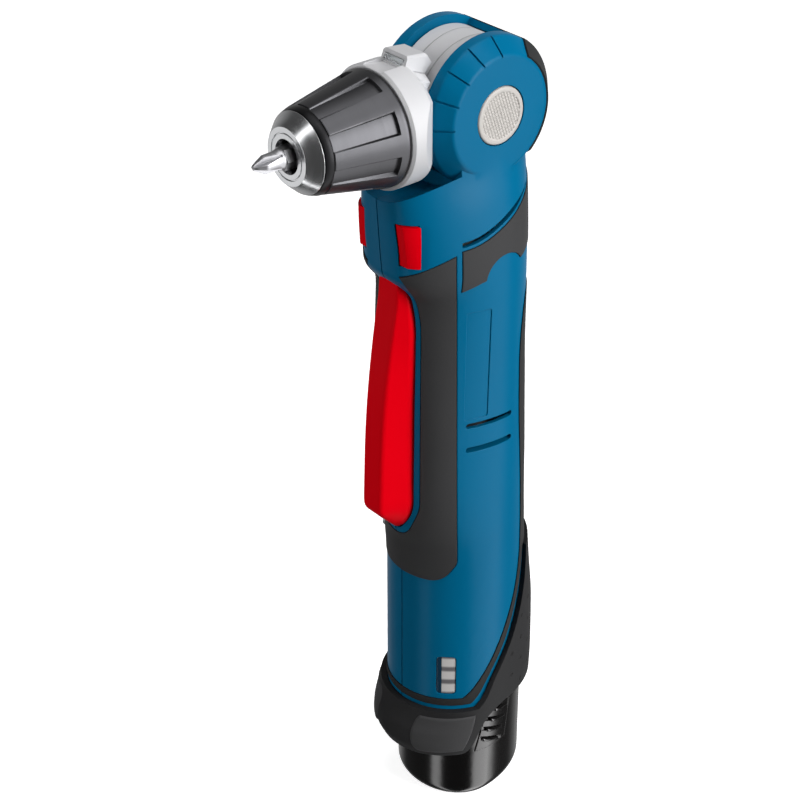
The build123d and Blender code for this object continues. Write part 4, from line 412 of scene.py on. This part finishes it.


# %% [markdown]
# The new pieces are surfaces: an array of points, rows by columns, with one face between each four
# neighbours. One function turns such an array into a mesh, joins what meets, turns the faces outward,
# tells the frame which body it rides on, and hides the node it stands for.

# %% From an array of points to a piece
def surface_piece(name, grid, finish, body, stands_for=None, wrap=True):
    """A mesh on a grid of points in mm. Wrap joins the last column to the first."""
    rows, columns = grid.shape[:2]
    index = np.arange(rows * columns).reshape(rows, columns)
    ahead = np.roll(index, -1, axis=1)
    if not wrap:
        index, ahead = index[:, :-1], ahead[:, :-1]
    faces = np.stack([index[:-1], ahead[:-1], ahead[1:], index[1:]], axis=-1).reshape(-1, 4)
    mesh = bpy.data.meshes.new(name)
    mesh.from_pydata((grid.reshape(-1, 3) * MM).tolist(), [], faces.tolist())
    shape = bmesh.new()
    shape.from_mesh(mesh)
    bmesh.ops.remove_doubles(shape, verts=shape.verts, dist=WELD_GAP)
    bmesh.ops.dissolve_degenerate(shape, edges=shape.edges, dist=WELD_GAP)
    bmesh.ops.recalc_face_normals(shape, faces=shape.faces)
    shape.to_mesh(mesh)
    shape.free()
    piece = bpy.data.objects.new(name, mesh)
    bpy.context.scene.collection.objects.link(piece)
    mesh.materials.append(finish)
    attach(piece, body)
    if stands_for:
        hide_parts(stands_for)
    return piece


def box_mm(node):
    """A node's lowest and highest corners in mm."""
    low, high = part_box(node)
    return np.array(low) / MM, np.array(high) / MM


def smooth_step(value, start, end):
    """0 before start, 1 after end, and a smooth rise between."""
    part = np.clip((value - start) / (end - start), 0.0, 1.0)
    return part * part * (3 - 2 * part)


button_low, button_high = box_mm("release_button_right")
pivot = (button_low[2] + button_high[2]) / 2
print("tilt axis at Z", round(pivot, 2))

# %% [markdown]
# The chuck's sleeve is what a hand turns to open the jaws, so it has eight broad flutes. Each has a
# flat floor that gets deeper towards the rear, where it stops at a step. The sleeve is a radius that
# depends on the angle and on the place along the axis, so the flutes are a term taken off a cone.

# %% Chuck sleeve
SLEEVE_FLUTES = 8
FLUTE_COLUMNS = 56
FLUTE_PHASE = math.radians(26.0)
FLUTE_HALF_ANGLE = math.radians(11.2)
FLUTE_EDGE = math.radians(0.9)
FLUTE_DEPTHS = (1.25, 0.3)
FLUTE_REAR = 37.5
BAND_START = 58.4
BAND_RADIUS = 13.3
SLEEVE_WALL = 2.3
# Each row of a lip: its distance from the sleeve's end, and how far it lies inside the cone
REAR_LIP = np.array([(0.0, SLEEVE_WALL), (0.0, 0.45), (0.15, 0.12)])
FRONT_LIP = np.array([(0.05, 0.3), (0.0, 0.45), (0.0, SLEEVE_WALL)])
# Where the plain rows and the fluted rows begin and end, from the ends of the sleeve and from the step
PLAIN_ROWS, PLAIN_START, PLAIN_END = 6, 0.45, 0.02
FLUTED_ROWS, FLUTED_START, FLUTED_END = 60, 0.12, 0.25
sleeve_low, sleeve_high = box_mm("chuck_sleeve")
sleeve_rear, sleeve_front = -sleeve_high[1], -sleeve_low[1]
rear_radius = sleeve_high[0]


def round_chuck(depth, radius, turn):
    """Points at a depth forward of the tilt axis, on a radius, at an angle from +X towards +Z."""
    return np.stack([radius * np.cos(turn), -depth + 0 * turn, pivot + radius * np.sin(turn)], axis=-1)


def sleeve_grid():
    """The outside is a cone with its flutes, and the inside a plain cone, joined at both ends."""
    turn = np.linspace(0, 2 * math.pi, SLEEVE_FLUTES * FLUTE_COLUMNS, endpoint=False)[None, :]
    depth = np.concatenate([
        sleeve_rear + REAR_LIP[:, 0],
        np.linspace(sleeve_rear + PLAIN_START, FLUTE_REAR - PLAIN_END, PLAIN_ROWS),
        np.linspace(FLUTE_REAR + FLUTED_START, BAND_START - FLUTED_END, FLUTED_ROWS),
        BAND_START - FRONT_LIP[:, 0],
        [sleeve_rear],
    ])[:, None]
    cone = rear_radius + (BAND_RADIUS - rear_radius) * (depth - sleeve_rear) / (BAND_START - sleeve_rear)
    slip = (turn - FLUTE_PHASE) % (2 * math.pi / SLEEVE_FLUTES)
    slip = np.minimum(slip, 2 * math.pi / SLEEVE_FLUTES - slip)
    inside = 1 - smooth_step(slip, FLUTE_HALF_ANGLE - FLUTE_EDGE, FLUTE_HALF_ANGLE)
    along = np.clip((depth - FLUTE_REAR) / (BAND_START - FLUTE_REAR), 0, 1)
    deep = (FLUTE_DEPTHS[0] + (FLUTE_DEPTHS[1] - FLUTE_DEPTHS[0]) * along) * (depth > FLUTE_REAR)
    radius = cone - deep * inside
    radius[:3] = rear_radius - REAR_LIP[:, 1:]
    radius[-4:-1] = BAND_RADIUS - FRONT_LIP[:, 1:]
    radius[-1] = rear_radius - SLEEVE_WALL
    return round_chuck(depth, radius, turn)


sleeve = surface_piece("chuck_sleeve_fluted", sleeve_grid(), sleeve_steel, "sleeve",
                       "chuck_sleeve")
keep_edges(sleeve)
print("sleeve", len(sleeve.data.polygons), "faces")

# %% [markdown]
# In front of the flutes the sleeve ends in a narrow black band, and then the bright nose begins. The
# band is a short turned ring with a softened lip at each end.

# %% Chuck band
BAND_COLUMNS = 160
BAND_FRONT_RADIUS = 12.4
# Each point of the profile: its distance in front of the flutes, and how far it lies inside the cone
BAND_PROFILE = np.array([
    (0.02, 2.4), (0.02, 0.45), (0.12, 0.12), (0.35, 0.0), (1.4, 0.0),
    (2.35, 0.0), (2.65, 0.08), (2.78, 0.3), (2.78, 1.5), (0.02, 2.4),
])


def band_grid():
    """A closed ring profile, carried round the chuck's axis."""
    turn = np.linspace(0, 2 * math.pi, BAND_COLUMNS, endpoint=False)[None, :]
    slope = (BAND_RADIUS - BAND_FRONT_RADIUS) / (sleeve_front - BAND_START)
    depth = BAND_START + BAND_PROFILE[:, :1]
    radius = BAND_RADIUS - slope * (depth - BAND_START) - BAND_PROFILE[:, 1:]
    return round_chuck(depth, radius, turn)


band = surface_piece("chuck_band", band_grid(), band_steel, "sleeve")
keep_edges(band)
print("band", len(band.data.polygons), "faces")

# %% [markdown]
# The round buttons let the head tilt. Their faces are knurled so that a thumb doesn't slip. The knurl
# is a weave of small bumps: one wave along each diagonal, multiplied. It fades out at a smooth rim.

# %% Release buttons
KNURL_PITCH = 1.55
KNURL_HEIGHT = 0.55
KNURL_RADIUS = 7.5
KNURL_FADE = 0.4
KNURL_LINES = ((0.50, 0.87), (0.94, -0.34))
FACE_RADIUS = 8.2
BUTTON_COLUMNS, FACE_ROWS, RIM_ROWS = 240, 80, 7
BUTTON_DEPTH = 2.7
STEM_RADIUS = 4.3
HUB_RADIUS = 0.01
button_radius = (button_high[2] - button_low[2]) / 2
button_face = button_high[0]


def button_grid(side):
    """Rings from the face's middle out over the rim and down the side, then in to the stem behind."""
    turn = np.linspace(0, 2 * math.pi, BUTTON_COLUMNS, endpoint=False)[None, :]
    face = np.linspace(HUB_RADIUS, FACE_RADIUS, FACE_ROWS)
    rim = np.linspace(0, math.pi / 2, RIM_ROWS + 1)[1:]
    rim_radius = button_radius - FACE_RADIUS
    behind = [button_radius, STEM_RADIUS, STEM_RADIUS, HUB_RADIUS]
    radius = np.concatenate([face, FACE_RADIUS + rim_radius * np.sin(rim), behind])[:, None]
    back, stem = button_face - BUTTON_DEPTH, button_low[0]
    lower = np.concatenate([0 * face, rim_radius * (1 - np.cos(rim))])
    out = np.concatenate([button_face - lower, [back, back, stem, stem]])[:, None]
    across, rise = radius * np.cos(turn), radius * np.sin(turn)
    wave = 2 * math.pi / KNURL_PITCH
    one_way, other_way = (np.sin(wave * (x * across + z * rise)) for x, z in KNURL_LINES)
    weave = one_way * other_way
    zone = 1 - smooth_step(radius, KNURL_RADIUS - KNURL_FADE, KNURL_RADIUS)
    on_face = np.arange(len(radius))[:, None] < len(face)
    out = out - on_face * zone * KNURL_HEIGHT * (0.5 - 0.5 * weave)
    return np.stack([side * (out + 0 * turn), across, pivot + rise], axis=-1)


for side, hand in ((1, "right"), (-1, "left")):
    button = surface_piece(f"release_button_{hand}_knurled", button_grid(side), grey_nylon,
                           f"button_{hand}", f"release_button_{hand}")
    keep_edges(button)
print("two knurled buttons")

# %% [markdown]
# The trigger is a long paddle. From the front it is a strip with round ends; from the side its ridge
# stands out most at the bottom and runs into the handle at the top. Each row is a section: two short
# sides, two slopes and a flat ridge. Averaging along the section rounds its corners.

# %% Trigger
TRIGGER_ENDS = (116.8, 208.6)
TRIGGER_STRAIGHT = (131.5, 190.5)
TRIGGER_HALF = 8.1
RIDGE_HALF = 4.4
TRIGGER_BASE = 26.0
TRIGGER_BACK = 20.4
RIDGE_HEIGHTS = (127.0, 148.5, 160.5, 173.5, 183.5, 193.5, 200.5, 208.6)
RIDGE_DEPTHS = (35.9, 35.2, 34.5, 33.2, 31.8, 30.2, 28.8, 28.4)
RIDGE_WINDOW = 15
RIDGE_MARGIN, BASE_MARGIN = 0.15, 0.05
# The underside slopes from the base at the lower end to this height and depth
UNDERSIDE = (127.0, 36.0)
UNDERSIDE_BLEND = 1.6
END_ROUND, END_LEAST = 0.62, 0.002
TRIGGER_TAPER, TAPER_POWER = 0.42, 1.6
TRIGGER_ROWS, ROW_CROWDING = 181, 0.12
SECTION_STEPS = (18, 30, 30, 30, 18)
CORNER_WINDOW = 9
TRIGGER_WALL = 1.4


def soft_run(values, window, axis):
    """A moving average along one axis, with the ends held."""
    reach = window // 2
    widths = [(reach, reach) if at == axis else (0, 0) for at in range(values.ndim)]
    held = np.pad(values, widths, mode="edge")
    parts = [np.take(held, np.arange(at, at + values.shape[axis]), axis=axis) for at in range(window)]
    return np.mean(parts, axis=0)


def trigger_grid():
    """Rows climb the trigger; each is a section through six corners, sampled evenly and then softened."""
    bottom, top = TRIGGER_ENDS
    part = np.linspace(0, 1, TRIGGER_ROWS)
    height = bottom + (top - bottom) * (part - ROW_CROWDING * np.sin(2 * math.pi * part))
    below = np.clip((TRIGGER_STRAIGHT[0] - height) / (TRIGGER_STRAIGHT[0] - bottom), 0, 1)
    above = np.clip((height - TRIGGER_STRAIGHT[1]) / (top - TRIGGER_STRAIGHT[1]), 0, 1)
    full = np.maximum((1 - below ** 2) ** END_ROUND, END_LEAST) * (1 - TRIGGER_TAPER * above ** TAPER_POWER)
    depth = np.interp(height, RIDGE_HEIGHTS, RIDGE_DEPTHS)
    depth = soft_run(depth, RIDGE_WINDOW, 0)
    under = TRIGGER_BASE + (height - bottom) * (UNDERSIDE[1] - TRIGGER_BASE) / (UNDERSIDE[0] - bottom)
    nearer = np.exp(-UNDERSIDE_BLEND * depth) + np.exp(-UNDERSIDE_BLEND * under)
    depth = -np.log(nearer) / UNDERSIDE_BLEND
    half = TRIGGER_HALF * full
    ridge = np.minimum(RIDGE_HALF, half * RIDGE_HALF / TRIGGER_HALF + RIDGE_HALF * np.sqrt(above))
    ridge = np.minimum(ridge, half - RIDGE_MARGIN * full)
    base = np.minimum(TRIGGER_BASE, depth - BASE_MARGIN)
    back = TRIGGER_BACK + 0 * half
    corners_x = np.stack([-half, -half, -ridge, ridge, half, half], axis=1)
    corners_y = -np.stack([back, base, depth, depth, base, back], axis=1)
    sides = len(SECTION_STEPS)
    steps = [at + np.linspace(0, 1, count, endpoint=False) for at, count in enumerate(SECTION_STEPS)]
    blend = np.concatenate([*steps, [sides]])
    left = np.minimum(blend.astype(int), sides - 1)
    share = (blend - left)[None, :]
    x = corners_x[:, left] * (1 - share) + corners_x[:, left + 1] * share
    y = corners_y[:, left] * (1 - share) + corners_y[:, left + 1] * share
    x, y = soft_run(x, CORNER_WINDOW, 1), soft_run(y, CORNER_WINDOW, 1)
    return np.stack([x, y, height[:, None] + 0 * x], axis=-1)


trigger = surface_piece("trigger_paddle", trigger_grid(), red_acetal, "trigger", "trigger",
                        wrap=False)
wall = trigger.modifiers.new("wall", "SOLIDIFY")
wall.thickness = TRIGGER_WALL * MM
wall.offset = -1.0
keep_edges(trigger)
print("trigger", len(trigger.data.polygons), "faces")


# %% [markdown]
# The boot's pads lie on a curved CAD skin. Their points start on a wide cylinder round the tool, and a
# Shrinkwrap modifier drops them along the cylinder's normals onto the node. What comes back is an array
# again, and the pad's own height is added to it.

# %% Points dropped on a node
DROP_REACH = 45.0


def drop_on(node, grid):
    """A grid's points moved along its normals, whichever way the node's skin lies within the reach."""
    rows, columns = grid.shape[:2]
    index = np.arange(rows * columns).reshape(rows, columns)
    faces = np.stack([index[:-1, :-1], index[:-1, 1:], index[1:, 1:], index[1:, :-1]], axis=-1)
    mesh = bpy.data.meshes.new("drop")
    mesh.from_pydata((grid.reshape(-1, 3) * MM).tolist(), [], faces.reshape(-1, 4).tolist())
    probe = bpy.data.objects.new("drop", mesh)
    bpy.context.scene.collection.objects.link(probe)
    wrap = probe.modifiers.new("drop", "SHRINKWRAP")
    wrap.wrap_method = "PROJECT"
    wrap.target = nodes[node]
    wrap.use_negative_direction = True
    wrap.use_positive_direction = True
    wrap.project_limit = DROP_REACH * MM
    shown = probe.evaluated_get(bpy.context.evaluated_depsgraph_get())
    found = bpy.data.meshes.new_from_object(shown)
    places = np.empty(grid.size, dtype=np.float32)
    found.vertices.foreach_get("co", places)
    bpy.data.objects.remove(probe)
    bpy.data.meshes.remove(found)
    bpy.data.meshes.remove(mesh)
    return places.reshape(grid.shape).astype(float) / MM


print("drop_on ready")

# %% [markdown]
# The boot's front corners carry a raised pad each, where the tool is laid down. A pad is a grid in
# height and in angle round the corner. Its front end is a half round, its rear end leans with the
# boot's own edge, and its surface rises from the boot's skin to a flat top with a rolled edge.

# %% Boot pads
PAD_HEIGHTS = (26.6, 42.0)
PAD_FRONT, PAD_FRONT_ROUND = 17.0, 8.0
PAD_REAR, PAD_LEAN, PAD_LEAN_POWER = 70.0, 11.0, 1.5
PAD_RISE = 0.55
PAD_SINK = 0.5
PAD_START = 45.0
PAD_EDGE, PAD_SKIRT = (0.88, 0.98), (0.94, 1.0)
PAD_ROWS, PAD_COLUMNS = 45, 81


def pad_grid(side):
    """Across and up run from -1 to 1. The front edge is round and the rear one leans; both are angles in
    degrees from -Y."""
    across, up = np.meshgrid(np.linspace(-1, 1, PAD_COLUMNS), np.linspace(-1, 1, PAD_ROWS))
    front = PAD_FRONT + PAD_FRONT_ROUND * (1 - np.sqrt(1 - up ** 2))
    rear = PAD_REAR - PAD_LEAN * ((1 - up) / 2) ** PAD_LEAN_POWER
    turn = np.radians(front + (rear - front) * (across + 1) / 2)
    z = np.mean(PAD_HEIGHTS) + np.diff(PAD_HEIGHTS)[0] / 2 * up
    out = np.stack([side * np.sin(turn), -np.cos(turn), 0 * z], axis=-1)
    base = drop_on("base_boot", PAD_START * out + z[..., None] * np.array([0, 0, 1]))
    border = np.maximum(np.abs(across), np.abs(up))
    lift = PAD_RISE * (1 - smooth_step(border, *PAD_EDGE)) - PAD_SINK * smooth_step(border, *PAD_SKIRT)
    return base + out * lift[..., None]


for side, hand in ((1, "right"), (-1, "left")):
    pad = surface_piece(f"boot_pad_{hand}", pad_grid(side), pad_rubber, "handle", wrap=False)
    pad.data.shade_smooth()
print("two boot pads")

# %% [markdown]
# A finger finds each battery latch by its four ribs. A rib is a bead with a round head at the front and
# a thin tail: a flattened round section carried from one to the other over the latch, whose outside is a
# part of an ellipse. Heads and tails step down the latch together.

# %% Latch ribs
RIB_COUNT = 4
RIB_HALF = 0.85
RIB_RISE, RIB_SINK = 1.1, 0.8
RIB_HEAD, RIB_HEAD_STEP = (7.5, 15.3), (1.77, 3.63)
RIB_TAIL, RIB_TAIL_STEP = (15.1, 13.9), (1.63, 4.17)
RIB_TAPER, RIB_TAPER_RUN = 0.45, (0.05, 0.9)
RIB_END_POWER = 12
RIB_ROWS, RIB_COLUMNS = 40, 24
latch_low, latch_high = box_mm("battery_latch_right")
foot_low, foot_high = box_mm("battery_case")


def rib_grid(side, number):
    """Along the run the bead's half width swells at the head and tapers to the tail."""
    round_about = np.linspace(0, 2 * math.pi, RIB_COLUMNS, endpoint=False)
    run, ring = np.meshgrid(np.linspace(0, 1, RIB_ROWS), round_about, indexing="ij")
    head = np.array(RIB_HEAD) - number * np.array(RIB_HEAD_STEP)
    tail = np.array(RIB_TAIL) - number * np.array(RIB_TAIL_STEP)
    ends = np.sqrt(1 - (2 * run - 1) ** RIB_END_POWER)
    spread = RIB_HALF * ends * (1 - RIB_TAPER * smooth_step(run, *RIB_TAPER_RUN))
    y = latch_low[1] + head[0] + (tail[0] - head[0]) * run
    z = latch_low[2] + head[1] + (tail[1] - head[1]) * run - spread * np.cos(ring)
    depth = np.where(y > 0, foot_high[1], -foot_low[1])
    rise = np.where(ring < math.pi, RIB_RISE, RIB_SINK) * spread * np.sin(ring)
    x = latch_high[0] * np.sqrt(1 - (y / depth) ** 2) + rise
    return np.stack([side * x, y, z], axis=-1)


for side, hand in ((1, "right"), (-1, "left")):
    for number in range(RIB_COUNT):
        rib = surface_piece(f"latch_rib_{hand}_{number + 1}", rib_grid(side, number), battery_abs,
                            f"latch_{hand}")
        rib.data.shade_smooth()
print(2 * RIB_COUNT, "latch ribs")

# %% [markdown]
# The camera stands where the photograph was taken from: above the right front corner, with a long
# lens. Its place was worked out from edges of known direction in the photograph.

# %% Camera
CAMERA_PLACE = Vector((0.411308, -0.372879, 0.490979))
CAMERA_AZIMUTH = math.radians(49.67)
CAMERA_ELEVATION = math.radians(31.23)
camera_data = bpy.data.cameras.new("camera")
camera_data.lens = 90.0
camera_data.sensor_width = 36.0
camera_data.clip_start = 0.01
camera = bpy.data.objects.new("camera", camera_data)
bpy.context.scene.collection.objects.link(camera)
camera.location = CAMERA_PLACE
camera.rotation_euler = (math.pi / 2 - CAMERA_ELEVATION, 0.0, CAMERA_AZIMUTH)
bpy.context.scene.camera = camera
print("camera at", [round(value, 3) for value in CAMERA_PLACE])

# %% [markdown]
# Two tall soft boxes stand at the right and at the front, as for a catalogue picture, with a third
# overhead, and a small card lies under the chuck, to be seen in its bright nose. The world is white to
# the camera. Reflections see a pale sweep behind the tool, two tall bright strips and a dim room between
# them: a strip is a band of headings round the tool, and it is what draws the upright highlights on
# black plastic and dark steel.

# %% Light and world
ROOM_DIM = 0.03
SWEEP = 0.45
SWEEP_EDGE = (0.4, 0.95)
WORLD_LIGHT = 0.08
# Each strip: its heading from -Y towards +X, the half angles of its full part and of its edge, its strength
STRIPS = ((112.0, 17.0, 33.0, 4.0), (3.0, 4.0, 13.0, 3.2))


def soft_box(name, place, aim, size, power):
    """A rectangular lamp at a place, turned to face the aim point."""
    data = bpy.data.lights.new(name, "AREA")
    data.shape = "RECTANGLE"
    data.size, data.size_y = size
    data.energy = power
    lamp = bpy.data.objects.new(name, data)
    lamp.location = place
    lamp.rotation_euler = (Vector(aim) - Vector(place)).to_track_quat("-Z", "Y").to_euler()
    bpy.context.scene.collection.objects.link(lamp)
    return lamp


middle = (0.0, 0.0, 0.16)
soft_box("key_right", (0.775, 0.282, 0.42), middle, (0.34, 0.80), 9.6)
soft_box("fill_front", (-0.20, -0.90, 0.36), middle, (0.18, 0.80), 3.3)
soft_box("top", (0.05, 0.05, 1.05), middle, (0.6, 0.6), 3.6)
card = soft_box("bounce_card", (-0.33, -0.35, 0.01), (0.0, -0.06, 0.26), (0.26, 0.26), 0.22)
card.visible_diffuse = False

world = bpy.data.worlds.new("studio")
world.use_nodes = True
bpy.context.scene.world = world
tree = world.node_tree
tree.nodes.clear()
rays = add(tree, "LightPath")
heading = add(tree, "TexCoord").outputs["Generated"]
level = add(tree, "VectorMath", "MULTIPLY", _0=heading, _1=(1.0, 1.0, 0.0)).outputs["Vector"]
level = add(tree, "VectorMath", "NORMALIZE", _0=level).outputs["Vector"]
sweep_side = (-math.sin(CAMERA_AZIMUTH), math.cos(CAMERA_AZIMUTH), 0.0)
facing = add(tree, "VectorMath", "DOT_PRODUCT", _0=level, _1=sweep_side).outputs["Value"]
room = add(tree, "MapRange", "SMOOTHSTEP", Value=facing,
           _1=SWEEP_EDGE[0], _2=SWEEP_EDGE[1], _3=ROOM_DIM, _4=SWEEP).outputs[0]
for strip_heading, full, edge, strength in STRIPS:
    turn = math.radians(strip_heading)
    strip_side = (math.sin(turn), -math.cos(turn), 0.0)
    facing = add(tree, "VectorMath", "DOT_PRODUCT", _0=level, _1=strip_side).outputs["Value"]
    strip = add(tree, "MapRange", "SMOOTHSTEP", Value=facing, _1=math.cos(math.radians(edge)),
                _2=math.cos(math.radians(full)), _3=0.0, _4=strength).outputs[0]
    room = add(tree, "Math", "MAXIMUM", _0=room, _1=strip).outputs[0]
seen = add(tree, "Math", "MAXIMUM", _0=rays.outputs["Is Camera Ray"],
           _1=rays.outputs["Is Transmission Ray"]).outputs[0]
shine = add(tree, "Math", "MULTIPLY", _0=rays.outputs["Is Glossy Ray"], _1=room).outputs[0]
rest = add(tree, "Math", "MAXIMUM", _0=shine, _1=WORLD_LIGHT).outputs[0]
strength = add(tree, "Math", "MAXIMUM", _0=seen, _1=rest).outputs[0]
backdrop = add(tree, "Background", Color=linear("#FFFFFF"), Strength=strength)
add(tree, "OutputWorld", Surface=backdrop.outputs["Background"])
print("three soft boxes, a card and", len(STRIPS), "strips")

# %% [markdown]
# The floor is a sheet of white paper. It takes the tool's soft shadow and its light is lifted for the
# camera, so that it runs into the white background. Reflections look past it into the room.

# %% Floor
FLOOR_REACH = 3.0
FLOOR_LIFT = 0.8
floor_mesh = bpy.data.meshes.new("floor")
corners = FLOOR_REACH * np.array([(-1, -1, 0), (1, -1, 0), (1, 1, 0), (-1, 1, 0)])
floor_mesh.from_pydata(corners.tolist(), [], [(0, 1, 2, 3)])
floor = bpy.data.objects.new("floor", floor_mesh)
bpy.context.scene.collection.objects.link(floor)
paper = bpy.data.materials.new("backdrop_paper")
paper.use_nodes = True
tree = paper.node_tree
tree.nodes.clear()
rays = add(tree, "LightPath")
sheet = add(tree, "BsdfDiffuse", Color=linear("#F2F2F2"))
lift = add(tree, "Math", "MULTIPLY", _0=rays.outputs["Is Camera Ray"], _1=FLOOR_LIFT).outputs[0]
glow = add(tree, "Emission", Color=linear("#FFFFFF"), Strength=lift)
both = add(tree, "AddShader", _0=sheet.outputs["BSDF"], _1=glow.outputs["Emission"])
add(tree, "OutputMaterial", Surface=both.outputs["Shader"])
floor_mesh.materials.append(paper)
floor.visible_glossy = False
floor.visible_diffuse = False
bpy.context.scene.view_settings.view_transform = "Standard"
print("a floor of", 2 * FLOOR_REACH, "m")

# %% The end
bpy.context.view_layer.update()
